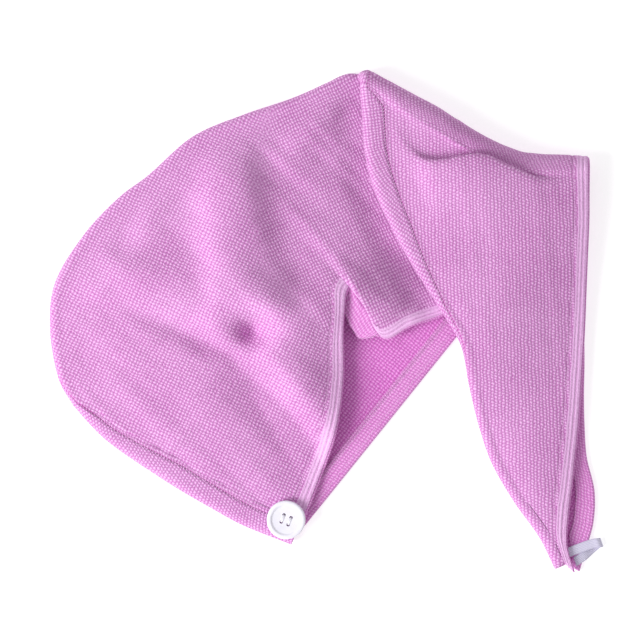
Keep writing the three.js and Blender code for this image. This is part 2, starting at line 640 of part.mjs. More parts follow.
// The two panels' middle surfaces, joined by the soft edge that runs round the seam side.
function panelSurfaces() {
  const names = ["lower", "upper"];
  const panels = names.map((name) => {
    const rows = panelRows(name);
    const points = rows.flatMap((row) => row.points);
    return { rows, points, cells: gridCells(points) };
  });
  const [low, high] = panels;
  const chain = [];
  const startWays = hemWays((v) => outline(1 - v));
  for (let j = COLUMNS; j > 0; j--) chain.push({ index: j, station: 1 - startWays[j] });
  low.rows.forEach((row, i) => chain.push({ index: i * (COLUMNS + 1), station: row.station }));

  // At each place of the edge: the way out, the way from the lower panel to the upper one, the middle
  // of the soft edge's round and half its height.
  const middle = chain.map(({ index }) => low.points[index].clone().lerp(high.points[index], 0.5));
  const frames = chain.map(({ index, station }, k) => {
    const across = high.points[index].clone().sub(low.points[index]);
    const bends = station > 2 && station < 2.1;
    const toUpper = bends ? across.clone().normalize() : new THREE.Vector3(0, 0, station < 2.05 ? 1 : -1);
    const half = bends ? across.length() / 2 : Math.abs(across.z) / 2;
    let out;
    if (bends) {
      out = middle[k + 1].clone().sub(middle[k - 1]).cross(toUpper).normalize().negate();
    } else {
      const flat = station < 2.05 ? outlineWay(station) : tailWay(station - 2.1);
      out = new THREE.Vector3(-flat.y, flat.x, 0);
    }
    return { out, toUpper, half, station, index };
  });

  panels.forEach((panel, which) => {
    const upper = which === 1;
    const normalSide = upper ? -1 : 1;
    let previous = chain.map((link) => link.index);
    const edgeNormals = [];
    const rings = frames.map(({ out, toUpper, half, station, index }) => {
      const turn = straight(SEAM_PLACE, "turn", station);
      const tuck = straight(SEAM_PLACE, "tuck", station);
      const share = upper ? 1 - turn : turn;
      const round = (Math.PI * (EDGE_RADIUS + half)) / 2;
      const over = SEAM_TUCK * Math.max(upper ? -tuck : tuck, 0);
      const total = SEAM_LEAD + share * round + over - SEAM_GAP / 2;
      return sampled(EDGE_COLUMNS, (part) => {
        const way = total * part;
        const angle = Math.PI * clamp((way - SEAM_LEAD) / round, 0, share);
        const past = Math.max(way - SEAM_LEAD - share * round, 0);
        const sideways = Math.min(way, SEAM_LEAD) + EDGE_RADIUS * Math.sin(angle) + past * Math.cos(angle);
        const inwards = half * (1 - Math.cos(angle)) + past * Math.sin(angle);
        const place = panel.points[index]
          .clone()
          .add(out.clone().multiplyScalar(sideways))
          .add(toUpper.clone().multiplyScalar(normalSide * inwards));
        const normal = out
          .clone()
          .multiplyScalar(normalSide * half * Math.sin(angle))
          .sub(toUpper.clone().multiplyScalar(EDGE_RADIUS * Math.cos(angle)))
          .normalize();
        return { place, normal };
      }).slice(1);
    });
    for (let ring = 0; ring < EDGE_COLUMNS; ring++) {
      const next = rings.map((ringPoints) => panel.points.push(ringPoints[ring].place) - 1);
      rings.forEach((ringPoints, k) => edgeNormals.push([next[k], ringPoints[ring].normal]));
      for (let k = 0; k + 1 < chain.length; k++) {
        panel.cells.push([previous[k], next[k], next[k + 1], previous[k + 1]]);
      }
      previous = next;
    }
    panel.normals = normalsOf(panel.points, panel.cells);
    for (const [index, normal] of edgeNormals) panel.normals[index] = normal;
  });
  return panels;
}

// A closed solid of even thickness round a surface of four-sided cells.
function sheetSolid({ points, cells, normals = normalsOf(points, cells) }, thickness) {
  const count = points.length;
  const corners = [];
  for (const side of [1, -1]) {
    points.forEach((p, k) => {
      corners.push(...p.clone().add(normals[k].clone().multiplyScalar((side * thickness) / 2)));
    });
  }
  const faces = [];
  const edges = new Map();
  for (const cell of cells) {
    const [a, b, c, d] = cell;
    faces.push(a, b, c, a, c, d);
    faces.push(count + a, count + c, count + b, count + a, count + d, count + c);
    cell.forEach((from, k) => edges.set(`${from} ${cell[(k + 1) % 4]}`, [from, cell[(k + 1) % 4]]));
  }
  for (const [from, to] of edges.values()) {
    if (edges.has(`${to} ${from}`)) continue;
    faces.push(to, from, count + from, to, count + from, count + to);
  }
  const geometry = new THREE.BufferGeometry();
  geometry.setAttribute("position", new THREE.Float32BufferAttribute(corners, 3));
  geometry.setIndex(faces);
  return geometry;
}

// The hem's turned-in allowance: a strip of thinner cloth on the panel's inner face along its hem.
// side is 1 where the panel's normals point to its inner face and -1 where they point out. The strip
// has the panel's own points and creases, so that it stays clear of it.
function hemStrip(panel, side) {
  const offset = side * (CLOTH / 2 + HEM_GAP + HEM_CLOTH / 2);
  const kept = (at) => at < (panel.rows.length - 1) * (COLUMNS + 1) && at % (COLUMNS + 1) >= COLUMNS - 2;
  const places = new Map();
  const points = [];
  const normals = [];
  panel.points.forEach((point, at) => {
    if (!kept(at)) return;
    places.set(at, points.length);
    points.push(point.clone().add(panel.normals[at].clone().multiplyScalar(offset)));
    normals.push(panel.normals[at]);
  });
  const strip = panel.cells.filter((cell) => cell.every(kept));
  const cells = strip.map((cell) => cell.map((at) => places.get(at)));
  return sheetSolid({ points, cells, normals }, HEM_CLOTH);
}

// The elastic loop: a flat band that leaves the tip between the tail's layers and comes back to it.
function elasticLoop() {
  const steps = sampled(18, (at) => at);
  const low = LOOP_CLOTH / 2 + SEAM_GAP;
  const high = FLOOR_LAYER + 2 * EDGE_RADIUS;
  const across = onLine(LOOP_WAY, 0.4).sub(onLine(LOOP_WAY, 0.1)).normalize();
  const sideways = new THREE.Vector3(-across.y, across.x, 0);
  const points = steps.flatMap((at) => {
    const place = onLine(LOOP_WAY, at);
    const height = mix(low, high, smooth(LOOP_WAY, "height", at));
    return [-0.5, 0, 0.5].map((share) =>
      new THREE.Vector3(place.x, place.y, height).add(sideways.clone().multiplyScalar(share * LOOP_WIDTH)),
    );
  });
  const cells = [];
  for (let i = 0; i + 1 < steps.length; i++) {
    for (const j of [0, 1]) {
      const at = i * 3 + j;
      cells.push([at, at + 3, at + 4, at + 1]);
    }
  }
  return sheetSolid({ points, cells }, LOOP_CLOTH);
}

const wasm = await Module();
wasm.setup();

// A closed three.js shape as a manifold-3d solid, and back.
function toSolid(geometry) {
  const bare = geometry.index ? geometry.toNonIndexed() : geometry.clone();
  bare.deleteAttribute("normal");
  bare.deleteAttribute("uv");
  const merged = mergeVertices(bare, 1e-4);
  return new wasm.Manifold(
    new wasm.Mesh({
      numProp: 3,
      vertProperties: merged.attributes.position.array,
      triVerts: new Uint32Array(merged.index.array),
    }),
  );
}
function toGeometry(solid) {
  const mesh = solid.getMesh();
  const geometry = new THREE.BufferGeometry();
  geometry.setAttribute("position", new THREE.BufferAttribute(mesh.vertProperties, 3));
  geometry.setIndex(new THREE.BufferAttribute(mesh.triVerts, 1));
  return geometry;
}

// The four holes of the button, round its middle.
const holes = [-1, 1].flatMap((x) => [-1, 1].map((y) => [(x * HOLE_PITCH) / 2, (y * HOLE_PITCH) / 2]));
const rodAt = (x, y, z, length, diameter, sides) =>
  new THREE.CylinderGeometry(diameter / 2, diameter / 2, length, sides)
    .rotateX(Math.PI / 2)
    .translate(x, y, z + length / 2);

// The button: a disc with rounded rim and a shallow dish, standing on its own flat back.
function button() {
  const radius = BUTTON_DIAMETER / 2;
  const round = BUTTON_THICKNESS / 4;
  const profile = [
    [0, 0],
    [radius - round, 0],
    [radius, round],
    [radius, BUTTON_THICKNESS - round],
    [radius - round, BUTTON_THICKNESS],
    [radius - BUTTON_RIM + round, BUTTON_THICKNESS],
    [radius - BUTTON_RIM - round, BUTTON_THICKNESS - BUTTON_DISH],
    [0, BUTTON_THICKNESS - BUTTON_DISH],
  ].map(([r, z]) => new THREE.Vector2(r, z));
  const disc = new THREE.LatheGeometry(profile, 28).rotateX(Math.PI / 2);
  let solid = toSolid(disc);
  for (const [x, y] of holes) {
    const drill = rodAt(x, y, -BUTTON_THICKNESS, 3 * BUTTON_THICKNESS, HOLE_DIAMETER, 10);
    solid = solid.subtract(toSolid(drill));
  }
  return toGeometry(solid);
}

// The sewing thread: a stay under the button, a leg up each hole and two stitches over the dish.
function buttonThread() {
  const over = BUTTON_THICKNESS - BUTTON_DISH + SEAM_GAP;
  const stay = rodAt(0, 0, -2 * SEAM_GAP - THREAD_DIAMETER, THREAD_DIAMETER, 2 * HOLE_PITCH, 16);
  let solid = toSolid(stay);
  const legLength = over + THREAD_DIAMETER + 2.5 * SEAM_GAP;
  for (const [x, y] of holes) {
    const leg = rodAt(x, y, -2.5 * SEAM_GAP, legLength, THREAD_DIAMETER, 8);
    solid = solid.add(toSolid(leg));
  }
  for (const side of [-1, 1]) {
    const stitch = new THREE.BoxGeometry(THREAD_DIAMETER, HOLE_PITCH, THREAD_DIAMETER);
    stitch.translate((side * HOLE_PITCH) / 2, 0, over + THREAD_DIAMETER / 2);
    solid = solid.add(toSolid(stitch));
  }
  return toGeometry(solid);
}

const towelling = { color: 0xdf9fdc, roughness: 0.95, metalness: 0 };
const hemming = { color: 0xd994d6, roughness: 0.95, metalness: 0 };
const elastic = { color: 0xdedcf0, roughness: 0.7, metalness: 0 };
const plastic = { color: 0xeeebf6, roughness: 0.25, metalness: 0 };
const cotton = { color: 0xf2edf4, roughness: 0.8, metalness: 0 };

const turban = new THREE.Group();
function addPiece(name, geometry, material) {
  const mesh = new THREE.Mesh(geometry, new THREE.MeshStandardMaterial(material));
  mesh.name = name;
  turban.add(mesh);
  return mesh;
}

const [lower, upper] = panelSurfaces();
addPiece("lower_panel", sheetSolid(lower, CLOTH), towelling);
addPiece("upper_panel", sheetSolid(upper, CLOTH), towelling);
addPiece("lower_hem", hemStrip(lower, -1), hemming);
addPiece("upper_hem", hemStrip(upper, 1), hemming);
addPiece("elastic_loop", elasticLoop(), elastic);

// The button and its thread stand on the cloth where the seam meets the opening.
const BUTTON_PLACE = { x: -0.074, y: -0.389 };
const buttonSeat = EDGE_TOP + CLOTH / 2 + 3 * SEAM_GAP + THREAD_DIAMETER;
const sewnOn = [addPiece("button", button(), plastic), addPiece("button_thread", buttonThread(), cotton)];
for (const piece of sewnOn) {
  piece.position.set(BUTTON_PLACE.x * LAID_WIDTH, BUTTON_PLACE.y * LAID_DEPTH, buttonSeat);
  piece.rotation.z = THREE.MathUtils.degToRad(HOLE_TURN);
}

// The origin goes to the surface, under the middle of the towel.
const extent = new THREE.Box3().setFromObject(turban);
const centre = extent.getCenter(new THREE.Vector3());
turban.position.set(-centre.x, -centre.y, -extent.min.z);

export default turban;
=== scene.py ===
import math

import bmesh
import bpy
import numpy as np
from mathutils import Matrix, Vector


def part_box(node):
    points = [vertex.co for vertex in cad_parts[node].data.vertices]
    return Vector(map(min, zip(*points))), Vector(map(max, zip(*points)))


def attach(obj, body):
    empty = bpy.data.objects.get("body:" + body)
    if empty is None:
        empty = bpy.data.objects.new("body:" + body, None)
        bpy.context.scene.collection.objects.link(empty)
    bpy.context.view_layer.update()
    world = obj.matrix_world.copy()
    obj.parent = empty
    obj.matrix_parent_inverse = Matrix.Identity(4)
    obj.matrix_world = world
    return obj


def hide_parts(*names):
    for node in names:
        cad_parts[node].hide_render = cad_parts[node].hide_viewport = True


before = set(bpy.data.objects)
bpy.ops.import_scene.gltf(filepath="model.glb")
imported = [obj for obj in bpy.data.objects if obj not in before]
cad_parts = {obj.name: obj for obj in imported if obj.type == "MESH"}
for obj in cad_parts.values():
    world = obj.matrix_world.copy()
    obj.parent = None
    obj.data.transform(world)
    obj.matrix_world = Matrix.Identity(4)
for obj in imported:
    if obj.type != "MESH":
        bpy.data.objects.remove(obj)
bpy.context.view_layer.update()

# The camera looks straight down on the towel through a long lens, as a product photographer's does.
# Its frame is 448 mm wide on the cloth.
CAMERA_HEIGHT = 2.5
FRAME_WIDTH = 0.448
FRAME_CENTRE = (-0.00487, 0.00068)

scene = bpy.context.scene
scene.view_settings.view_transform = "Standard"
camera_data = bpy.data.cameras.new("camera")
camera_data.sensor_width = 36
camera_data.lens = camera_data.sensor_width * CAMERA_HEIGHT / FRAME_WIDTH
camera_data.clip_end = 20
camera = bpy.data.objects.new("camera", camera_data)
camera.location = (*FRAME_CENTRE, CAMERA_HEIGHT)
scene.collection.objects.link(camera)
scene.camera = camera


# The table is a plain white board that curves up far behind the towel.
# It takes only a soft shadow where the cloth stands on it.
def new_material(name):
    """A material and its shader."""
    material = bpy.data.materials.new(name)
    material.use_nodes = True
    return material, material.node_tree.nodes["Principled BSDF"]


def mesh_object(name, bm, material):
    """A finished bmesh as an object of the scene, with its place in its mesh."""
    mesh = bpy.data.meshes.new(name)
    bm.to_mesh(mesh)
    bm.free()
    mesh.materials.append(material)
    mesh.shade_smooth()
    made = bpy.data.objects.new(name, mesh)
    scene.collection.objects.link(made)
    return made


table_white, shader = new_material("table_white")
shader.inputs["Base Color"].default_value = (0.6, 0.6, 0.605, 1)
shader.inputs["Roughness"].default_value = 0.9
shader.inputs["Emission Color"].default_value = (1, 1, 1, 1)
shader.inputs["Emission Strength"].default_value = 0.62
bm = bmesh.new()
bmesh.ops.create_grid(bm, x_segments=1, y_segments=1, size=6)
bmesh.ops.translate(bm, verts=bm.verts, vec=(0, 0, -0.0004))
table_top = mesh_object("table_top", bm, table_white)

# One large soft box stands to the left, and a white room gives the rest of the light.
world = bpy.data.worlds.new("white_room")
scene.world = world
world.use_nodes = True
world.node_tree.nodes["Background"].inputs["Color"].default_value = (1, 1, 1, 1)
world.node_tree.nodes["Background"].inputs["Strength"].default_value = 0.55


def soft_box(name, place, size, power):
    """A square area light at a place, turned to the middle of the towel."""
    data = bpy.data.lights.new(name, "AREA")
    data.size = size
    data.energy = power
    lamp = bpy.data.objects.new(name, data)
    lamp.location = place
    lamp.rotation_euler = (-lamp.location).to_track_quat("-Z", "Y").to_euler()
    scene.collection.objects.link(lamp)


soft_box("key_light", (-1.75, -0.75, 1.4), 1.3, 66)

# The lower panel lies on the table under the head part, turns back on itself at the upper right and
# ends as the top layer of the folded tail. It is looped microfibre cloth, cut as a long drop with a
# round head end, and it is sewn to the upper panel inside out, so that its edges roll in softly.
LAID_WIDTH = 385
LAID_DEPTH = 351
CLOTH = 2
SEAM_GAP = 0.4
EDGE_RADIUS = 4
SEAM_LEAD = 3
SEAM_TUCK = 11
HEM_CLOTH = 1
HEM_GAP = 0.7
DOME_RISE = 10
FOLD_RISE = 20
TAIL_PUFF = 4
PLEAT_SLIDE = 8
PLEAT_RISE = 9
LAYER_AIR = 2
EDGE_SETTLE = 30
TAIL_SETTLE = 24
HEAD_SETTLE = 80
FLOOR_LAYER = CLOTH / 2
HEM_STACK = CLOTH + 2 * HEM_CLOTH + 2 * HEM_GAP + SEAM_GAP
EDGE_TOP = FLOOR_LAYER + 2 * EDGE_RADIUS
PRESSED_LAYER = FLOOR_LAYER + HEM_STACK + LAYER_AIR / 2
TAIL_UNDER_LAYER = PRESSED_LAYER + CLOTH + LAYER_AIR
HEAD_ROWS = 150
BEND_ROWS = 14
TAIL_ROWS_MADE = 120
COLUMNS = 92
HEM_COLUMNS = 18
HEM_ZONE = 14
FOLD_TURN = 18
RUMPLE = {False: 0.5, True: 1}
STITCH_ROWS = (3, 10.5)
STITCH_SINK = 0.45
STITCH_SPREAD = 0.9
EDGE_RINGS = 9
BUTTON_PLACE = (-0.074, -0.389)


def table(columns, *rows):
    """Named columns of numbers. The first one, at, runs along a line."""
    return dict(zip(columns.split(), np.array(rows, float).T))


# Lines of the laid towel seen from above, x as a share of its width and y of its depth.
HEAD_END = table(
    "at x y",
    (0, -0.458, -0.163),
    (0.12, -0.411, -0.219),
    (0.27, -0.355, -0.266),
    (0.46, -0.28, -0.32),
    (0.66, -0.205, -0.368),
    (0.8, -0.151, -0.4),
    (1, -0.064, -0.438),
)
HEAD_SEAM = table(
    "at x y",
    (0, -0.458, -0.163),
    (0.06, -0.485, -0.109),
    (0.13, -0.5, -0.013),
    (0.2, -0.491, 0.081),
    (0.27, -0.438, 0.177),
    (0.33, -0.376, 0.249),
    (0.38, -0.324, 0.292),
    (0.45, -0.245, 0.368),
    (0.53, -0.158, 0.41),
    (0.64, -0.067, 0.444),
    (0.8, -0.004, 0.474),
    (0.92, 0.035, 0.494),
    (1, 0.066, 0.494),
)
LOWER_HEM = table(
    "at x y from_x from_y",
    (0, -0.064, -0.438, -0.16, -0.38),
    (0.5, 0.204, -0.054, 0.09, 0.05),
    (1, 0.471, 0.33, 0.4, 0.34),
)
UPPER_HEM = table(
    "at x y from_x from_y",
    (0, -0.056, -0.415, -0.15, -0.38),
    (0.08, -0.031, -0.352, -0.13, -0.325),
    (0.165, 0.007, -0.233, -0.1, -0.21),
    (0.247, 0.022, -0.127, -0.08, -0.11),
    (0.33, 0.023, -0.03, -0.055, -0.02),
    (0.38, 0.026, 0.025, -0.03, 0.045),
    (0.405, 0.029, 0.05, -0.008, 0.085),
    (0.43, 0.038, 0.064, 0.02, 0.115),
    (0.455, 0.05, 0.048, 0.055, 0.105),
    (0.48, 0.067, 0.023, 0.085, 0.08),
    (0.545, 0.1, -0.035, 0.115, 0.045),
    (0.602, 0.149, -0.009, 0.125, 0.08),
    (0.697, 0.233, 0.031, 0.195, 0.13),
    (1, 0.405, 0.245, 0.35, 0.28),
)
LOWER_FOLD = table("at x y", (0, 0.1, 0.462), (0.38, 0.205, 0.41), (0.7, 0.342, 0.334), (1, 0.471, 0.33))
UPPER_FOLD = table("at x y", (0, 0.075, 0.474), (0.35, 0.178, 0.39), (0.7, 0.305, 0.3), (1, 0.405, 0.245))
TAIL_LINES = table(
    "at edge_x edge_y top_x top_y under_x under_y",
    (0, 0.062, 0.47, 0.471, 0.33, 0.405, 0.245),
    (0.08, 0.065, 0.418, 0.471, 0.267, 0.427, 0.215),
    (0.16, 0.071, 0.332, 0.471, 0.203, 0.441, 0.175),
    (0.24, 0.09, 0.256, 0.469, 0.137, 0.452, 0.12),
    (0.32, 0.123, 0.18, 0.467, 0.07, 0.46, 0.06),
    (0.4, 0.16, 0.109, 0.465, 0.003, 0.463, -0.01),
    (0.48, 0.203, 0.035, 0.462, -0.063, 0.464, -0.075),
    (0.56, 0.243, -0.04, 0.458, -0.129, 0.463, -0.14),
    (0.64, 0.259, -0.12, 0.454, -0.193, 0.464, -0.2),
    (0.72, 0.277, -0.2, 0.448, -0.258, 0.468, -0.265),
    (0.8, 0.301, -0.276, 0.442, -0.32, 0.482, -0.332),
    (0.88, 0.342, -0.354, 0.435, -0.385, 0.48, -0.396),
    (0.95, 0.388, -0.425, 0.433, -0.442, 0.466, -0.45),
    (1, 0.416, -0.487, 0.446, -0.492, 0.455, -0.492),
)
# Where the seam lies round the soft edge: at is 0 at the button, 1 at the left corner, 2 at the peak,
# 2.1 after the fold and 3.1 at the tip.
SEAM_PLACE = table(
    "at turn tuck",
    (0, 1, 0.9),
    (0.55, 1, 1),
    (0.92, 1, 0.35),
    (1.02, 0.85, 0),
    (1.12, 0.5, 0),
    (1.78, 0.5, 0),
    (2, 0, 0),
    (2.1, 0, 0),
    (2.17, 0, -1),
    (2.34, 0, -1),
    (2.42, 0, -0.8),
    (2.5, 0, -0.4),
    (2.58, 0, 0),
    (2.78, 0.5, 0),
    (3.1, 0.5, 0),
)
# The pleat in the top of the folded tail, along it and across it.
PLEAT = table(
    "at slide rise bow",
    (0, 0, 0, 0),
    (0.035, 0, 0.1, 0.4),
    (0.07, 0, -0.15, 0.9),
    (0.085, 0.3, 0.1, 1),
    (0.1, 0.95, 0.75, 1),
    (0.12, 1, 1, 0.95),
    (0.155, 0.5, 0.9, 0.8),
    (0.21, 0.15, 0.5, 0.5),
    (0.3, 0, 0.1, 0.15),
    (0.4, 0, 0, 0),
)
PLEAT_ACROSS = table(
    "at share slant",
    (0, 0, 0),
    (0.1, 0.2, 0.05),
    (0.2, 0.8, 0.07),
    (0.45, 1, 0.02),
    (0.68, 0.6, -0.04),
    (0.85, 0.15, -0.06),
    (1, 0, -0.06),
)


def step_of(rows, at):
    """For each place the row of the table before it, and the share of the way to the next."""
    ats = rows["at"]
    place = np.clip(at, ats[0], ats[-1])
    i = np.clip(np.searchsorted(ats, place, side="left") - 1, 0, len(ats) - 2)
    return i, (place - ats[i]) / (ats[i + 1] - ats[i])


def smooth(rows, column, at):
    """A column of a table at given places, on a smooth curve through its rows."""
    ats, values = rows["at"], rows[column]
    i, s = step_of(rows, at)
    before = np.maximum(np.arange(len(ats)) - 1, 0)
    after = np.minimum(np.arange(len(ats)) + 1, len(ats) - 1)
    slopes = (values[after] - values[before]) / (ats[after] - ats[before])
    span = ats[i + 1] - ats[i]
    return (
        values[i] * (1 + 2 * s) * (1 - s) ** 2
        + slopes[i] * span * s * (1 - s) ** 2
        + values[i + 1] * s * s * (3 - 2 * s)
        + slopes[i + 1] * span * s * s * (s - 1)
    )


def straight(rows, column, at):
    """The same on straight lines between the rows."""
    return np.interp(at, rows["at"], rows[column])


def settle(value, start, end):
    """0 before start, 1 after end, and a soft step between them."""
    s = np.clip((value - start) / (end - start), 0, 1)
    return s * s * (3 - 2 * s)


def mix(a, b, share):
    return a + (b - a) * share


def on_line(rows, at, x="x", y="y"):
    return np.stack([smooth(rows, x, at) * LAID_WIDTH, smooth(rows, y, at) * LAID_DEPTH], -1)


def length_of(vectors):
    return np.linalg.norm(vectors, axis=-1)


def unit(vectors):
    return vectors / np.maximum(length_of(vectors), 1e-9)[..., None]


def outline(s):
    """The head part's sewn outline: 0 at the button, 1 at the left corner, 2 at the peak."""
    return np.where((s <= 1)[..., None], on_line(HEAD_END, 1 - s), on_line(HEAD_SEAM, s - 1))


def outline_way(s):
    return unit(outline(np.minimum(s + 0.04, 2)) - outline(np.maximum(s - 0.04, 0)))


def moved_right(place, way, distance):
    right = np.stack([way[..., 1], -way[..., 0]], -1)
    return place + right * np.asarray(distance)[..., None]


def inside_outline(s, distance):
    return moved_right(outline(s), outline_way(s), distance)


def tail_left(at):
    return on_line(TAIL_LINES, at, "edge_x", "edge_y")


def tail_width(at):
    return length_of(tail_left(at) - on_line(TAIL_LINES, at, "under_x", "under_y"))


def tail_way(at):
    return unit(tail_left(np.maximum(at - 0.04, 0)) - tail_left(np.minimum(at + 0.04, 1)))


def inside_tail(at, distance):
    return moved_right(tail_left(at), tail_way(at), distance)


def from_line(points, place):
    """Distance to a line of points, the part of it off to the right, and the share of its way."""
    nearest = np.full(place.shape[:-1], np.inf)
    aside = np.zeros_like(nearest)
    way = np.zeros_like(nearest)
    for i in range(len(points) - 1):
        step = points[i + 1] - points[i]
        off = place - points[i]
        s = np.clip((off @ step) / (step @ step), 0, 1)
        distance = length_of(off - s[..., None] * step)
        closer = distance < nearest
        nearest = np.where(closer, distance, nearest)
        turned = (off[..., 0] * step[1] - off[..., 1] * step[0]) / length_of(step)
        aside = np.where(closer, turned, aside)
        way = np.where(closer, (i + s) / (len(points) - 1), way)
    return nearest, aside, way


def signed_distance(points, place):
    """Distance to a line of points, negative on its left."""
    distance, aside, way = from_line(points, place)
    return np.where(aside < 0, -distance, distance)


def inset(s, upper):
    """How far in from the outline a panel's own surface starts, past the soft edge and the seam."""
    tuck = straight(SEAM_PLACE, "tuck", s)
    return EDGE_RADIUS + SEAM_LEAD + SEAM_TUCK * np.maximum(tuck if upper else -tuck, 0)


tail_edge_points = tail_left(np.linspace(0, 1, 41))
lower_hem_points = on_line(LOWER_HEM, np.array([0.0, 1.0]))
outline_points = outline(np.linspace(0, 2, 61))


def on_head(place):
    """How much of the tail lies on the head part at a place: 1 on it and 0 on the bare table."""
    return settle(-signed_distance(lower_hem_points, place), -HEAD_SETTLE, 0)


def tail_under_height(place):
    return mix(FLOOR_LAYER, TAIL_UNDER_LAYER, on_head(place))


def tail_top_height(place, at, v):
    apart = mix(2 * EDGE_RADIUS, HEM_STACK + LAYER_AIR, v)
    puff = TAIL_PUFF * settle(1 - at, 0, 0.3) * 4 * v * (1 - v)
    pleat = PLEAT_RISE * smooth(PLEAT, "rise", at) * smooth(PLEAT_ACROSS, "share", v)
    return tail_under_height(place) + apart + puff + pleat


# The folds of the upper panel: how wide each one spreads to its left and right, as shares of the
# width, and its line of places with the rise at each as a share of the tallest.
FOLDS = (
    # The long ridge from the back edge.
    (0.032, 0.06, (-0.118, 0.438, 0.1), (-0.147, 0.376, 0.24), (-0.151, 0.296, 0.34),
     (-0.142, 0.227, 0.35), (-0.127, 0.167, 0.3), (-0.107, 0.111, 0.18), (-0.089, 0.063, 0.05)),
    # The ridge beside it down to the dimple.
    (0.06, 0.03, (-0.198, 0.37, 0.14), (-0.205, 0.296, 0.3), (-0.202, 0.217, 0.36),
     (-0.196, 0.137, 0.36), (-0.191, 0.067, 0.3), (-0.193, 0.011, 0.26), (-0.191, -0.037, 0.1)),
    # The crest of the slack fold.
    (0.055, 0.05, (-0.165, 0.123, 0.12), (-0.144, 0.071, 0.4), (-0.1, 0.033, 0.75),
     (-0.049, 0.019, 0.9), (-0.005, 0.035, 0.9), (0.035, 0.059, 0.85), (0.085, 0.047, 0.6),
     (0.147, 0.027, 0.15)),
    # The lower ridge of the slack fold.
    (0.06, 0.032, (-0.125, -0.013, 0.25), (-0.095, -0.057, 0.45), (-0.053, -0.113, 0.5),
     (-0.016, -0.169, 0.42), (0.013, -0.217, 0.3)),
    # The valley under the slack fold.
    (0.026, 0.04, (-0.209, -0.057, -0.1), (-0.149, -0.103, -0.28), (-0.095, -0.163, -0.36),
     (-0.056, -0.219, -0.34), (-0.025, -0.292, -0.15)),
    # The ridge from the left edge.
    (0.04, 0.045, (-0.495, 0.063, 0.12), (-0.422, 0.091, 0.24), (-0.34, 0.097, 0.26),
     (-0.271, 0.071, 0.2), (-0.222, 0.017, 0.12)),
    # The crease that runs into the dimple.
    (0.018, 0.022, (-0.385, 0.037, -0.05), (-0.322, 0.011, -0.15), (-0.258, -0.015, -0.26),
     (-0.209, -0.039, -0.32), (-0.173, -0.053, -0.2)),
    # The valley at the back edge.
    (0.02, 0.02, (-0.349, 0.254, -0.2), (-0.356, 0.217, -0.2), (-0.376, 0.161, -0.1)),
    # The ridge down from the peak.
    (0.03, 0.045, (0.02, 0.47, 0.5), (-0.002, 0.434, 0.6), (-0.035, 0.39, 0.45), (-0.075, 0.338, 0.15)),
    # The low ridge at the back edge.
    (0.03, 0.03, (-0.307, 0.29, 0.1), (-0.322, 0.217, 0.12), (-0.34, 0.147, 0.06)),
)
DIMPLE = (-0.133, -0.013)
DIMPLE_SINK = 1
DIMPLE_WIDTH = 0.028
DOME_ACROSS = table("at rise", (0, 0), (0.25, 0.75), (0.5, 1), (0.8, 0.55), (1, 0.15))
DOME_ALONG = table(
    "at rise", (0, 0), (0.15, 0.5), (0.3, 1), (0.42, 0.95), (0.56, 0.7), (0.7, 0.25), (0.85, 0), (1, 0)
)


def folds_at(place):
    """The sum of the upper panel's folds at a place."""
    rise = np.zeros(place.shape[:-1])
    for left, right, *line in FOLDS:
        x, y, rises = np.array(line).T
        rows = {"at": np.linspace(0, 1, len(line)), "x": x, "y": y, "rise": rises}
        distance, aside, way = from_line(on_line(rows, np.linspace(0, 1, 25)), place)
        width = mix(left, right, (1 + aside / np.maximum(distance, 1e-6)) / 2) * LAID_WIDTH
        rise += smooth(rows, "rise", way) * np.exp(-((distance / width) ** 2))
    to_dimple = length_of(place - np.array([DIMPLE[0] * LAID_WIDTH, DIMPLE[1] * LAID_DEPTH]))
    return rise - DIMPLE_SINK * np.exp(-((to_dimple / (DIMPLE_WIDTH * LAID_WIDTH)) ** 2))


def upper_head_height(place, u, v):
    distance, aside, way = from_line(outline_points, place)
    free = settle(distance - inset(2 * way, True), 0, EDGE_SETTLE)
    dome = DOME_RISE * smooth(DOME_ACROSS, "rise", v) * smooth(DOME_ALONG, "rise", u)
    stands = np.maximum(EDGE_TOP + dome + free * FOLD_RISE * folds_at(place), PRESSED_LAYER)
    beside_tail = -signed_distance(tail_edge_points, place)
    return mix(stands, PRESSED_LAYER, settle(beside_tail, -TAIL_SETTLE, -CLOTH))


def fitted(line, start, end):
    """A line moved so that it starts and ends at two given points."""
    zero, one = np.zeros(1), np.ones(1)

    def moved(at):
        share = at[..., None]
        return line(at) + (start - line(zero)[0]) * (1 - share) + (end - line(one)[0]) * share

    return moved


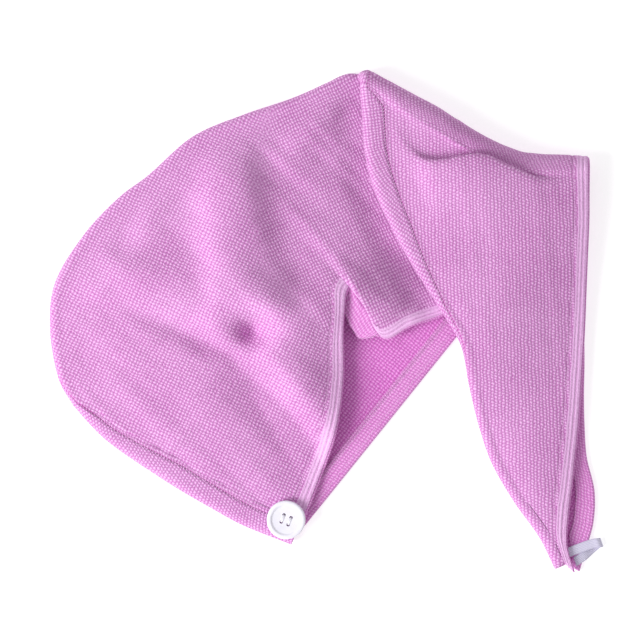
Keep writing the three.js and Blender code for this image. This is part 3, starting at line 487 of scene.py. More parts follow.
def panel_lines(upper):
    """The functions that place a panel's middle surface."""
    hem_table, fold_table = (UPPER_HEM, UPPER_FOLD) if upper else (LOWER_HEM, LOWER_FOLD)
    hem_x, hem_y = ("under_x", "under_y") if upper else ("top_x", "top_y")
    zero, one = np.zeros(1), np.ones(1)

    def tail_point(at, v):
        start = inside_tail(at, np.minimum(inset(2.1 + at, upper), tail_width(at) * 0.6))
        return mix(start, on_line(TAIL_LINES, at, hem_x, hem_y), v[..., None])

    fold_line = fitted(lambda v: on_line(fold_table, v), tail_point(zero, zero)[0], tail_point(zero, one)[0])

    def tail_height(place, at, v):
        return tail_under_height(place) if upper else tail_top_height(place, at, v)

    def fold_frame(v):
        place = fold_line(v)
        along = unit(fold_line(np.minimum(v + 0.05, 1)) - fold_line(np.maximum(v - 0.05, 0)))
        out = np.stack([-along[..., 1], along[..., 0]], -1)
        bottom = PRESSED_LAYER if upper else FLOOR_LAYER
        radius = (tail_height(place, np.zeros_like(v), v) - bottom) / 2
        return place - out * radius[..., None], out, radius, bottom

    def start_row(v):
        return inside_outline(1 - v, inset(1 - v, upper))

    def seam_row(u):
        return inside_outline(1 + u, inset(1 + u, upper))

    fold_end = fold_frame(one)[0][0]
    hem_row = fitted(lambda u: on_line(hem_table, u), start_row(one)[0], fold_end)
    fold_row = fitted(lambda v: fold_frame(v)[0], seam_row(one)[0], fold_end)

    def hem_from(u):
        return on_line(hem_table, u, "from_x", "from_y")

    def bent_row(at, v):
        s = v[..., None]
        turn = mix(seam_row(at), hem_from(at), 1 / 3)
        return (
            seam_row(at) * (1 - s) ** 3
            + turn * 3 * s * (1 - s) ** 2
            + hem_from(at) * 3 * s * s * (1 - s)
            + hem_row(at) * s ** 3
        )

    def head_point(u, v):
        share = u[..., None]
        place = bent_row(u, v)
        place = place + (start_row(v) - bent_row(np.zeros_like(u), v)) * (1 - share)
        place = place + (fold_row(v) - bent_row(np.ones_like(u), v)) * share
        height = upper_head_height(place, u, v) if upper else np.full(v.shape, FLOOR_LAYER)
        return np.concatenate([place, height[..., None]], -1)

    def shift(v):
        return (tail_point(zero, zero)[0] - fold_row(zero)[0]) * ((1 - v) ** 3)[..., None]

    def bend_point(share, v):
        out, radius, bottom = fold_frame(v)[1:]
        angle = np.pi * (share - 0.5)
        place = fold_row(v) + out * (radius * np.cos(angle))[..., None] + shift(v) * share[..., None]
        return np.concatenate([place, (bottom + radius * (1 + np.sin(angle)))[..., None]], -1)

    def tail_surface(nominal, v):
        slant = 0 if upper else smooth(PLEAT, "bow", nominal) * smooth(PLEAT_ACROSS, "slant", v)
        at = nominal + slant
        near = 1 - settle(at, 0, 0.16)
        half = np.full_like(v, 0.5)
        way = tail_point(np.minimum(at + 0.02, 1), half) - tail_point(np.maximum(at - 0.02, 0), half)
        bow = fold_row(v) + shift(v) - tail_point(np.zeros_like(v), v)
        place = tail_point(at, v) + bow * near[..., None]
        height = tail_height(place, nominal, v)
        if not upper:
            slide = PLEAT_SLIDE * smooth(PLEAT, "slide", nominal) * smooth(PLEAT_ACROSS, "share", v)
            place = place - unit(way) * slide[..., None]
        return np.concatenate([place, height[..., None]], -1)

    def point(station, v):
        """A place by its row, 1 to 2 over the head part, 2.1 round the fold and 3.1 at the tip."""
        head = head_point(np.clip(station - 1, 0, 1), v)
        bend = bend_point(np.clip((station - 2) * 10, 0, 1), v)
        tail = tail_surface(np.clip(station - 2.1, 0, 1), v)
        return np.where((station <= 2)[..., None], head, np.where((station < 2.1)[..., None], bend, tail))

    return point


panel_point = {False: panel_lines(False), True: panel_lines(True)}
row_stations = np.concatenate([
    np.linspace(1, 2, HEAD_ROWS + 1)[:-1],
    np.linspace(2, 2.1, BEND_ROWS + 1)[:-1],
    np.linspace(2.1, 3.1, TAIL_ROWS_MADE + 1),
])
ROWS = len(row_stations)


def spread_ways(point, stations):
    """For each row, the ways across it of its columns: close together in the hem and even elsewhere."""
    rough = np.linspace(0, 1, 161)
    grid = np.broadcast_to(stations[:, None], (len(stations), len(rough)))
    places = point(grid, np.broadcast_to(rough, grid.shape))
    steps = length_of(np.diff(places, axis=1))
    lengths = np.concatenate([np.zeros((len(stations), 1)), np.cumsum(steps, 1)], 1)
    ways = []
    for run in lengths:
        hem = min(HEM_ZONE, 0.35 * run[-1])
        body = np.linspace(0, run[-1] - hem, COLUMNS - HEM_COLUMNS + 1)[:-1]
        wanted = np.concatenate([body, np.linspace(run[-1] - hem, run[-1], HEM_COLUMNS + 1)])
        ways.append(np.interp(wanted, run, rough))
    return np.array(ways)


def outward(upper, stations, ways):
    """The way out of the towel, off a panel's middle surface."""
    point = panel_point[upper]
    along = point(np.minimum(stations + 0.004, 3.1), ways) - point(np.maximum(stations - 0.004, 1), ways)
    across = point(stations, np.minimum(ways + 0.01, 1)) - point(stations, np.maximum(ways - 0.01, 0))
    normals = unit(np.cross(along, across))
    middle = point(np.array([1.49, 1.51]), np.array([0.5, 0.5]))
    side = point(np.array([1.5, 1.5]), np.array([0.49, 0.51]))
    faces_up = np.cross(middle[1] - middle[0], side[1] - side[0])[2] > 0
    return normals if faces_up == upper else -normals


start_ways = spread_ways(lambda s, v: np.concatenate([outline(1 - v), v[..., None] * 0], -1), np.ones(1))[0]
chain_rows = np.concatenate([np.zeros(COLUMNS, int), np.arange(ROWS)])
chain_columns = np.concatenate([np.arange(COLUMNS, 0, -1), np.zeros(ROWS, int)])
chain_ways = np.where(chain_columns > 0, start_ways[chain_columns], 0.0)
chain_stations = np.where(chain_columns > 0, 1 - chain_ways, row_stations[chain_rows])


def edge_frames():
    """Along the sewn edge: both panels' last places, the way out, the way up and half the height."""
    low = panel_point[False](row_stations[chain_rows], chain_ways)
    high = panel_point[True](row_stations[chain_rows], chain_ways)
    middle = (low + high) / 2
    across = high - low
    bends = (chain_stations > 2) & (chain_stations < 2.1)
    upright = np.zeros_like(low)
    upright[:, 2] = np.where(chain_stations < 2.05, 1, -1)
    to_upper = np.where(bends[:, None], unit(across), upright)
    half = np.where(bends, length_of(across), np.abs(across[:, 2])) / 2
    run = np.gradient(middle, axis=0)
    round_bend = -unit(np.cross(run, to_upper))
    head_way = outline_way(np.minimum(chain_stations, 2))
    folded_way = tail_way(np.clip(chain_stations - 2.1, 0, 1))
    flat = np.where((chain_stations < 2.05)[:, None], head_way, folded_way)
    level = np.stack([-flat[:, 1], flat[:, 0], np.zeros(len(flat))], -1)
    return low, high, np.where(bends[:, None], round_bend, level), to_upper, half, level


edge_low, edge_high, edge_out, edge_up, edge_half, edge_level = edge_frames()


def edge_ring(upper, part):
    """The places of the soft edge at a share of the way round it, and how far round that is."""
    turn = straight(SEAM_PLACE, "turn", chain_stations)
    tuck = straight(SEAM_PLACE, "tuck", chain_stations)
    share = 1 - turn if upper else turn
    bend = np.pi * (EDGE_RADIUS + edge_half) / 2
    over = SEAM_TUCK * np.maximum(-tuck if upper else tuck, 0)
    way = (SEAM_LEAD + share * bend + over - SEAM_GAP / 2) * part
    angle = np.pi * np.clip((way - SEAM_LEAD) / bend, 0, share)
    past = np.maximum(way - SEAM_LEAD - share * bend, 0)
    sideways = np.minimum(way, SEAM_LEAD) + EDGE_RADIUS * np.sin(angle) + past * np.cos(angle)
    inwards = edge_half * (1 - np.cos(angle)) + past * np.sin(angle)
    start = edge_high if upper else edge_low
    side = -1 if upper else 1
    return start + edge_out * sideways[:, None] + side * edge_up * inwards[:, None], way


button_low, button_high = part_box("button")
origin_x = (button_low[0] + button_high[0]) / 2 - BUTTON_PLACE[0] * LAID_WIDTH / 1000
origin_y = (button_low[1] + button_high[1]) / 2 - BUTTON_PLACE[1] * LAID_DEPTH / 1000


def in_frame(places):
    """Millimetres from the middle of the laid towel to metres of the shared frame."""
    return places / 1000 + np.array([origin_x, origin_y, 0])


def mirrored(upper, ways):
    """A way seen from above as it ran before the tail was folded over."""
    fold_table = UPPER_FOLD if upper else LOWER_FOLD
    ends = on_line(fold_table, np.array([0.0, 1.0]))
    along = unit(ends[1] - ends[0])
    return 2 * (ways @ along)[..., None] * along - ways


def unfolded(upper, stations, places):
    """Where the cloth of a place lay before the tail was folded over, seen from above."""
    fold_table = UPPER_FOLD if upper else LOWER_FOLD
    start = on_line(fold_table, np.zeros(1))[0]
    along = unit(on_line(fold_table, np.ones(1))[0] - start)
    beyond = np.array([-along[1], along[0]]) * FOLD_TURN
    flat = places[..., :2]
    turned = start + mirrored(upper, flat - start) + beyond
    share = np.clip((stations - 2) * 10, 0, 1)[..., None]
    return mix(flat, turned, share)


# The waves of handled cloth: each one's length, the way it runs in degrees, and its height.
RUMPLE_WAVES = ((47, 20, 0.3), (31, 75, 0.25), (23, 130, 0.2), (17, 50, 0.14), (12, 100, 0.08))


def rumple(flat):
    """Small uneven waves of handled cloth."""
    rise = np.zeros(flat.shape[:-1])
    for length, turn, height in RUMPLE_WAVES:
        way = np.array([math.cos(math.radians(turn)), math.sin(math.radians(turn))])
        bow = 0.35 * np.sin(2 * np.pi * (flat @ way[::-1]) / (length * 2.3))
        rise += height * np.sin(2 * np.pi * (flat @ way) / length + bow * 6)
    return rise


def stitch_sink(from_hem):
    """How far the two rows of hem stitches pull the cloth in."""
    return STITCH_SINK * sum(np.exp(-(((from_hem - row) / STITCH_SPREAD) ** 2)) for row in STITCH_ROWS)


def lay_weave(bm, flat):
    """The UV map of the cloth: where each vertex lies on the flat cloth, given in millimetres."""
    bm.verts.index_update()
    weave = bm.loops.layers.uv.new("cloth")
    for face in bm.faces:
        for loop in face.loops:
            loop[weave].uv = flat[loop.vert.index] / 1000


def panel_sheet(upper):
    """A panel as a bmesh: a grid over its rows and columns, with rings extruded round its sewn edge."""
    bm = bmesh.new()
    bmesh.ops.create_grid(bm, x_segments=ROWS - 1, y_segments=COLUMNS, size=0.5)
    step = 0.01

    def at_side(edge, axis):
        return all(vert.co[axis] < -0.4999 for vert in edge.verts)

    chain = [edge for edge in bm.edges if edge.is_boundary and (at_side(edge, 0) or at_side(edge, 1))]
    for ring in range(EDGE_RINGS):
        made = bmesh.ops.extrude_edge_only(bm, edges=chain)["geom"]
        limit = -0.5 - ring * step + 1e-5
        for vert in (item for item in made if isinstance(item, bmesh.types.BMVert)):
            vert.co.x -= step if vert.co.x < limit else 0
            vert.co.y -= step if vert.co.y < limit else 0
        chain = [item for item in made if isinstance(item, bmesh.types.BMEdge)]
    spots = np.array([vert.co[:2] for vert in bm.verts])
    rings = np.rint(np.maximum(-0.5 - spots.min(1), 0) / step).astype(int)
    rows = np.clip(np.rint((spots[:, 0] + 0.5) * (ROWS - 1)), 0, ROWS - 1).astype(int)
    columns = np.clip(np.rint((spots[:, 1] + 0.5) * COLUMNS), 0, COLUMNS).astype(int)

    ways = spread_ways(panel_point[upper], row_stations)
    ways[0] = start_ways
    stations = np.broadcast_to(row_stations[:, None], ways.shape)
    grid = panel_point[upper](stations, ways)
    flat = unfolded(upper, stations, grid)
    steps = length_of(np.diff(grid, axis=1))[:, ::-1]
    from_hem = np.concatenate([np.zeros((ROWS, 1)), np.cumsum(steps, 1)], 1)[:, ::-1]
    out = outward(upper, stations, ways)
    inside = settle(from_hem, 8, 24) * settle(from_hem[:, :1] - from_hem, 0, 20)
    grid = grid + out * (rumple(flat) * RUMPLE[upper] * inside - stitch_sink(from_hem))[..., None]

    places = grid[rows, columns]
    cloth = flat[rows, columns]
    link = {(row, column): k for k, (row, column) in enumerate(zip(chain_rows, chain_columns))}
    edge_flat = unfolded(upper, chain_stations, edge_high if upper else edge_low)
    level = edge_level[:, :2]
    edge_run = np.where((chain_stations > 2.05)[:, None], mirrored(upper, level), level)
    for ring in range(1, EDGE_RINGS + 1):
        ring_places, way = edge_ring(upper, ring / EDGE_RINGS)
        for k in np.nonzero(rings == ring)[0]:
            at = link[rows[k], columns[k]]
            places[k] = ring_places[at]
            cloth[k] = edge_flat[at] + edge_run[at] * way[at]
    for vert, place in zip(bm.verts, in_frame(places)):
        vert.co = place
    lay_weave(bm, cloth)
    hem_distance = bm.verts.layers.float.new("from_hem")
    for vert, row, column, ring in zip(bm.verts, rows, columns, rings):
        vert[hem_distance] = from_hem[row, column] if ring == 0 else 100
    bm.normal_update()
    centres = [(face.calc_center_median(), face.normal.z) for face in bm.faces]
    tops = [rise for centre, rise in centres if abs(centre.x) < 0.02 and centre.y < 0]
    if (sum(tops) > 0) != upper:
        bmesh.ops.reverse_faces(bm, faces=bm.faces)
    return bm


def feed(socket, value):
    """A fixed value for a socket, or a link from another node's output."""
    if isinstance(value, bpy.types.NodeSocket):
        socket.id_data.links.new(value, socket)
    else:
        socket.default_value = value


def node_maths(operation, *values):
    """One step of arithmetic in the material that its first socket is in."""
    tree = next(value for value in values if isinstance(value, bpy.types.NodeSocket)).id_data
    node = tree.nodes.new("ShaderNodeMath")
    node.operation = operation
    for socket, value in zip(node.inputs, values):
        feed(socket, value)
    return node.outputs[0]


def node_noise(vector, scale, detail=2):
    noise = vector.id_data.nodes.new("ShaderNodeTexNoise")
    noise.inputs["Scale"].default_value = scale
    noise.inputs["Detail"].default_value = detail
    feed(noise.inputs["Vector"], vector)
    return noise.outputs["Fac"]


def node_mix(share, first, second):
    """A mix of two colours, each a fixed one or another node's."""
    mixed = share.id_data.nodes.new("ShaderNodeMix")
    mixed.data_type = "RGBA"
    feed(mixed.inputs["Factor"], share)
    for socket, colour in ((mixed.inputs[6], first), (mixed.inputs[7], second)):
        feed(socket, (*colour, 1) if isinstance(colour, tuple) else colour)
    return mixed.outputs[2]


def node_bump(shader, height, strength, distance):
    """The relief of a height, in metres, on a shader's own normal."""
    bump = shader.id_data.nodes.new("ShaderNodeBump")
    bump.inputs["Strength"].default_value = strength
    bump.inputs["Distance"].default_value = distance
    feed(bump.inputs["Height"], height)
    feed(shader.inputs["Normal"], bump.outputs["Normal"])


def cloth_place(shader):
    """Where a spot lies on the flat cloth."""
    place = shader.id_data.nodes.new("ShaderNodeUVMap")
    place.uv_map = "cloth"
    return place.outputs["UV"]


def held_value(tree, name):
    """A value that the mesh holds for each of its places."""
    held = tree.nodes.new("ShaderNodeAttribute")
    held.attribute_name = name
    return held.outputs["Fac"]


# The weave, in metres: how far apart its ribs and loops are, how far they sway and are pulled, and how
# high the loops stand. The hem's band is in millimetres.
RIB_PITCH = 0.0024
LOOP_PITCH = 0.0021
WEAVE_SWAY = 0.0022
LOOP_PULL = 0.0019
LOOP_HEIGHT = 0.0007
LOOP_FULLNESS = 0.6
WEAVE_LOW = 0.15
HEM_BAND = 9
HEM_BAND_FADE = 1.5
HEM_BAND_WOBBLE = 1.2
HEM_RIB = 2.7
HEM_PALENESS = 0.35
HEM_TINT = (0.9, 0.6, 0.9)


def waffle_height(vector, turn, stagger):
    """The height of the looped weave: ribs at an angle, and each one's loops set off from the next's."""
    tree = vector.id_data
    turned = tree.nodes.new("ShaderNodeVectorRotate")
    turned.rotation_type = "Z_AXIS"
    turned.inputs["Angle"].default_value = -math.radians(turn)
    feed(turned.inputs["Vector"], vector)
    parts = tree.nodes.new("ShaderNodeSeparateXYZ")
    feed(parts.inputs[0], turned.outputs[0])
    sway = node_maths("MULTIPLY_ADD", node_noise(vector, 85), WEAVE_SWAY, -WEAVE_SWAY / 2)
    pull = node_maths("MULTIPLY_ADD", node_noise(vector, 330), LOOP_PULL, -LOOP_PULL / 2)
    across = node_maths("ADD", node_maths("ADD", parts.outputs["Y"], sway), pull)
    along = node_maths("SUBTRACT", node_maths("ADD", parts.outputs["X"], sway), pull)
    rib = node_maths("DIVIDE", across, RIB_PITCH)
    loop = node_maths("DIVIDE", along, LOOP_PITCH)
    loop = node_maths("MULTIPLY_ADD", node_maths("ROUND", rib), stagger, loop)
    waves = []
    for place in (rib, loop):
        wave = node_maths("COSINE", node_maths("MULTIPLY", place, 2 * math.pi))
        wave = node_maths("MULTIPLY_ADD", wave, 0.5, 0.5)
        waves.append(node_maths("MULTIPLY_ADD", wave, 1 - WEAVE_LOW, WEAVE_LOW))
    return node_maths("MULTIPLY", *waves)


def hem_band(vector, height):
    """The weave's height with the hem's band in it, whose ribs run along the edge, and the band's share."""
    from_hem = held_value(vector.id_data, "from_hem")
    distance = node_maths("MULTIPLY_ADD", node_noise(vector, 60), HEM_BAND_WOBBLE, from_hem)
    inner = node_maths("MULTIPLY_ADD", distance, -1 / HEM_BAND_FADE, HEM_BAND / HEM_BAND_FADE)
    band = node_maths("MINIMUM", node_maths("MAXIMUM", inner, 0), 1)
    wave = node_maths("COSINE", node_maths("MULTIPLY", distance, 2 * math.pi / HEM_RIB))
    loops = node_noise(vector, 700, 1)
    rib = node_maths("MULTIPLY_ADD", wave, 0.32, node_maths("ADD", loops, 0.02))
    return node_maths("MULTIPLY_ADD", node_maths("SUBTRACT", rib, height), band, height), band


def uneven(value, noise, amount):
    """A value with an amount of noise on it, as much above it as below."""
    return node_maths("MULTIPLY_ADD", noise, amount, node_maths("ADD", value, -amount / 2))


def cloth_look(name, turns, top, gap, stagger=0.0, banded=True, glow=0.0):
    """A looped towelling. Two turns are blended by the mesh's own share of the turned part."""
    material, shader = new_material(name)
    vector = cloth_place(shader)
    height = waffle_height(vector, turns[0], stagger)
    if len(turns) == 2:
        step = node_maths("SUBTRACT", waffle_height(vector, turns[1], 0.0), height)
        height = node_maths("MULTIPLY_ADD", step, held_value(shader.id_data, "turned_cloth"), height)
    if banded:
        height, band = hem_band(vector, height)
    height = uneven(height, node_noise(vector, 1500, 3), 0.5)
    share = node_maths("POWER", node_maths("MAXIMUM", height, 0.001), LOOP_FULLNESS)
    share = uneven(share, node_noise(vector, 22, 3), 0.3)
    # Painted shade: the colour runs from the dark gap colour in the low hollows of the weave to the top
    # colour on the loops, standing in for shade in the hollows.
    colour = node_mix(share, gap, top)
    if banded:
        colour = node_mix(node_maths("MULTIPLY", band, HEM_PALENESS), colour, HEM_TINT)
    feed(shader.inputs["Base Color"], colour)
    # Painted light: glow makes the cloth give off its own colour, standing in for light that passes through
    # the thin cloth into its shade.
    feed(shader.inputs["Emission Color"], colour)
    shader.inputs["Emission Strength"].default_value = glow
    shader.inputs["Roughness"].default_value = 0.95
    shader.inputs["Specular IOR Level"].default_value = 0.15
    shader.inputs["Sheen Weight"].default_value = 0.3
    shader.inputs["Sheen Roughness"].default_value = 0.5
    shader.inputs["Sheen Tint"].default_value = (1, 0.8, 0.98, 1)
    node_bump(shader, height, 0.6, LOOP_HEIGHT)
    return material


def on_towel(piece, slot_name, *nodes_replaced):
    """The calls that every piece of the towel needs."""
    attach(piece, "root")
    if nodes_replaced:
        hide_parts(*nodes_replaced)
    return piece


outer_cloth = cloth_look("lilac_towelling", (65, 25), (0.86, 0.5, 0.84), (0.4, 0.09, 0.35))
lower_cloth = cloth_look("lilac_towelling_lower", (52.6,), (0.86, 0.5, 0.84), (0.4, 0.09, 0.35), 0.5)
# The inner face is a darker, more saturated copy of the same cloth with a faint glow: painted shade inside
# the towel, with painted light through the thin cloth.
inner_shaded_cloth = cloth_look(
    "lilac_towelling_inside_shaded", (52.6,), (0.84, 0.34, 0.78), (0.46, 0.07, 0.38), banded=False, glow=0.06
)


def give_wall(piece, thickness, inside=None):
    """An even wall on both sides of a middle surface, with the inner face in a second material when one is
    given.
    """
    wall = piece.modifiers.new("wall", "SOLIDIFY")
    wall.thickness = thickness / 1000
    wall.offset = 0
    wall.use_even_offset = False
    if inside:
        piece.data.materials.append(inside)
        wall.material_offset = 1


lower_panel = mesh_object("lower_panel_cloth", panel_sheet(False), lower_cloth)
give_wall(lower_panel, CLOTH, inner_shaded_cloth)
on_towel(lower_panel, "towelling", "lower_panel")

# The upper panel is the same cloth. It stands in folds over the head part, and the far side of the
# long ridge is where its ribs turn along the pushed-up hem.
TURN_LINE = table("at x y", (0, -0.1, 0.44), (0.3, -0.128, 0.28), (0.6, -0.115, 0.13), (1, -0.04, 0.03))
TURN_WIDTH = 9
upper_panel = mesh_object("upper_panel_cloth", panel_sheet(True), outer_cloth)
towel_middle = np.array([origin_x, origin_y])
spots = (np.array([vert.co[:2] for vert in upper_panel.data.vertices]) - towel_middle) * 1000
beyond = signed_distance(on_line(TURN_LINE, np.linspace(0, 1, 21)), spots)
turned_cloth = upper_panel.data.attributes.new("turned_cloth", "FLOAT", "POINT")
turned_cloth.data.foreach_set("value", settle(-beyond, -TURN_WIDTH, TURN_WIDTH))
give_wall(upper_panel, CLOTH, inner_shaded_cloth)
on_towel(upper_panel, "towelling", "upper_panel")


# The hems are the panels' own edges, turned in to the inside and stitched down in two rows. On the
# right of the arch the upper one has come open, and its smooth back leans out of the opening.
HEM_REACH = 13
HEM_BEND_STEPS = 6
HEM_FLAT_STEPS = 8
FLAP = table(
    "at lean width",
    (1.42, 0, 13),
    (1.435, 0.6, 11),
    (1.455, 1, 16),
    (1.48, 1, 19),
    (1.51, 1, 17),
    (1.535, 0.7, 12),
    (1.555, 0, 13),
)
FLAP_WAY = (-0.62, -0.6, -0.5)
HEM_LAYER = CLOTH / 2 + HEM_GAP + HEM_CLOTH / 2
HEM_WEAVE_STEP = 1.6
ZONE_DISTANCES = np.arange(0, 17)
zone_stations = np.interp(np.arange(0, ROWS - 0.5, 0.5), np.arange(ROWS), row_stations)


def hem_zone(upper):
    """The places and the ways out of a panel beside its hem, at even distances in from its edge."""
    rough = np.broadcast_to(np.linspace(1, 0.6, 41), (len(zone_stations), 41))
    across = np.broadcast_to(zone_stations[:, None], rough.shape)
    steps = length_of(np.diff(panel_point[upper](across, rough), axis=1))
    runs = np.concatenate([np.zeros((len(steps), 1)), np.cumsum(steps, 1)], 1)
    ways = np.array([np.interp(ZONE_DISTANCES, run, rough[0]) for run in runs])
    across = np.broadcast_to(zone_stations[:, None], ways.shape)
    return panel_point[upper](across, ways), outward(upper, across, ways)


zones = {upper: hem_zone(upper) for upper in (False, True)}


def in_zone(values, stations, from_hem):
    """Values of a hem's zone at given stations and distances, evenly between its rows and columns."""
    row = np.interp(stations, zone_stations, np.arange(len(zone_stations)))
    column = np.clip(from_hem, 0, ZONE_DISTANCES[-1])
    i = np.minimum(row.astype(int), len(zone_stations) - 2)
    j = np.minimum(column.astype(int), len(ZONE_DISTANCES) - 2)
    down, over = (row - i)[..., None], (column - j)[..., None]
    before, after = (mix(values[k, j], values[k, j + 1], over) for k in (i, i + 1))
    return mix(before, after, down)


def hem_points(upper, stations, from_hem, inwards):
    """Places beside a panel's hem: from_hem in from its edge and inwards off its middle surface."""
    from_hem = np.broadcast_to(from_hem, stations.shape)
    zone_places, zone_out = zones[upper]
    edge = in_zone(zone_places, stations, np.zeros_like(stations))
    over = unit(edge - in_zone(zone_places, stations, np.ones_like(stations)))
    places = in_zone(zone_places, stations, from_hem) + over * np.maximum(-from_hem, 0)[..., None]
    places = places - in_zone(zone_out, stations, from_hem) * np.asarray(inwards)[..., None]
    lean = np.interp(stations, FLAP["at"], FLAP["lean"]) if upper else np.zeros_like(stations)
    width = np.interp(stations, FLAP["at"], FLAP["width"]) / HEM_REACH
    leaning = edge + unit(np.array(FLAP_WAY)) * (np.maximum(from_hem, 0) * width)[..., None]
    return np.where((np.asarray(from_hem) > 0)[..., None], mix(places, leaning, lean[..., None]), places)


def hem_sheet(upper):
    """The turned-in hem as a bmesh: round the panel's edge and back along its inner face."""
    turns = np.linspace(0, np.pi, HEM_BEND_STEPS + 1)
    flat = np.linspace(0, HEM_REACH, HEM_FLAT_STEPS + 1)[1:]
    from_hem = np.concatenate([-HEM_LAYER / 2 * np.sin(turns), flat])
    inwards = np.concatenate([HEM_LAYER / 2 * (1 - np.cos(turns)), np.full(HEM_FLAT_STEPS, HEM_LAYER)])
    count = len(from_hem)
    bm = bmesh.new()
    bmesh.ops.create_grid(bm, x_segments=ROWS - 1, y_segments=count - 1, size=0.5)
    spots = np.array([vert.co[:2] for vert in bm.verts]) + 0.5
    rows = np.rint(spots[:, 0] * (ROWS - 1)).astype(int)
    columns = np.rint(spots[:, 1] * (count - 1)).astype(int)

    def row_at(distance, off):
        return hem_points(upper, row_stations, np.full(ROWS, distance), np.full(ROWS, off))

    lines = np.stack([row_at(*profile) for profile in zip(from_hem, inwards)], 1)
    for vert, place in zip(bm.verts, in_frame(lines[rows, columns])):
        vert.co = place
    lengths = np.concatenate([[0], np.cumsum(length_of(np.diff(lines[:, 0], axis=0)))])
    lay_weave(bm, np.stack([lengths[rows], columns * HEM_WEAVE_STEP], 1))
    return bm


# The hem cloth has a faint glow: painted light through the thin cloth, where the turned-in hem lies in shade
# inside the towel.
hem_cloth = cloth_look("lilac_hem", (0,), (0.85, 0.42, 0.8), (0.5, 0.12, 0.43), banded=False, glow=0.05)
upper_hem = mesh_object("upper_hem_cloth", hem_sheet(True), hem_cloth)
give_wall(upper_hem, HEM_CLOTH)
on_towel(upper_hem, "hem", "upper_hem")
lower_hem = mesh_object("lower_hem_cloth", hem_sheet(False), hem_cloth)
give_wall(lower_hem, HEM_CLOTH)
on_towel(lower_hem, "hem", "lower_hem")


# The stitches are machine-sewn in lilac thread: two rows along each hem, and an overlock that binds
# the raw edge of the allowance in a zigzag.
STITCH_STEP = 2.6
STITCH_PARTS = 4
STITCH_THREAD = 0.28
OVERLOCK_STEP = 1.7
OVERLOCK_WIDTH = 2.6


def clouded(shader, scale, first, second):
    """A soft mix of two colours all through a piece."""
    place = shader.id_data.nodes.new("ShaderNodeTexCoord").outputs["Object"]
    feed(shader.inputs["Base Color"], node_mix(node_noise(place, scale), first, second))


def thread_look(name, light, dark):
    material, shader = new_material(name)
    clouded(shader, 900, dark, light)
    shader.inputs["Roughness"].default_value = 0.7
    shader.inputs["Sheen Weight"].default_value = 0.2
    return material


def sewn(name, strands, thickness, material, slot_name="hem"):
    """Many short strands of thread as one curve object. Each strand is a row of places in millimetres."""
    data = bpy.data.curves.new(name, "CURVE")
    data.dimensions = "3D"
    data.bevel_depth = thickness / 1000
    data.bevel_resolution = 1
    data.use_fill_caps = True
    for strand in strands:
        spline = data.splines.new("POLY")
        spline.points.add(len(strand) - 1)
        placed = np.concatenate([in_frame(np.array(strand)), np.ones((len(strand), 1))], 1)
        spline.points.foreach_set("co", placed.ravel())
    data.materials.append(material)
    piece = bpy.data.objects.new(name, data)
    scene.collection.objects.link(piece)
    return on_towel(piece, slot_name)


def even_stations(line, start, end, step):
    """Stations between two others that lie evenly spaced along a line of places."""
    dense = np.linspace(start, end, 800)
    run = np.concatenate([[0], np.cumsum(length_of(np.diff(line(dense), axis=0)))])
    return np.interp(np.arange(0, run[-1], step), run, dense)


def stitch_row(line, start, end):
    """A row of separate stitches along a line, with a small gap after each."""
    places = line(even_stations(line, start, end, STITCH_STEP / STITCH_PARTS))
    starts = range(0, len(places) - STITCH_PARTS, STITCH_PARTS)
    return [places[k:k + STITCH_PARTS] for k in starts]


def hem_line(upper, from_hem, inwards):
    return lambda s: hem_points(upper, s, from_hem, np.full_like(s, inwards))


def overlock(upper, start, end):
    """The zigzag over the raw edge of a hem's allowance."""
    raised = HEM_LAYER + HEM_CLOTH / 2 + STITCH_THREAD / 2
    edge = hem_line(upper, HEM_REACH, raised)
    run = even_stations(edge, start, end, OVERLOCK_STEP / 2)
    near = hem_line(upper, HEM_REACH - OVERLOCK_WIDTH, raised)(run)
    far = hem_line(upper, HEM_REACH + 0.5, raised - 0.3)(run)
    odd = (np.arange(len(run)) % 2 == 1)[:, None]
    return np.where(odd, far, near)


lilac_thread = thread_look("lilac_thread", (0.86, 0.5, 0.83), (0.62, 0.26, 0.57))
on_face = -CLOTH / 2 + STITCH_SINK - 0.05
inside_hem = HEM_LAYER + HEM_CLOTH / 2
# Which hem each run of stitches is on, how far off its middle surface, and where it starts and ends.
STITCHED = (
    (True, on_face, 1.01, 1.71),
    (False, on_face, 2.11, 3.08),
    (False, inside_hem, 1.01, 1.96),
    (True, inside_hem, 1.44, 1.54),
)
rows_of_stitches = []
for row in STITCH_ROWS:
    for upper, off, start, end in STITCHED:
        rows_of_stitches += stitch_row(hem_line(upper, row, off), start, end)
hem_stitches = sewn("hem_stitches", rows_of_stitches, STITCH_THREAD, lilac_thread)
overlocking = sewn(
    "hem_overlocking", [overlock(False, 1.02, 2.0), overlock(True, 1.3, 1.6)], STITCH_THREAD, lilac_thread
)


# The long seam joins the two panels' edges. Its ridge of sewn cloth fills the line between them, and
# small stitches show across it.
SEAM_RIDGE = 1.0
SEAM_SIDES = 8
SEAM_STITCH_STEP = 2.2
SEAM_STITCH_LEAN = 1.1
SEAM_STITCH_REACH = 1.5
SEAM_STITCH_DROP = 0.85
SEAM_THREAD = 0.24


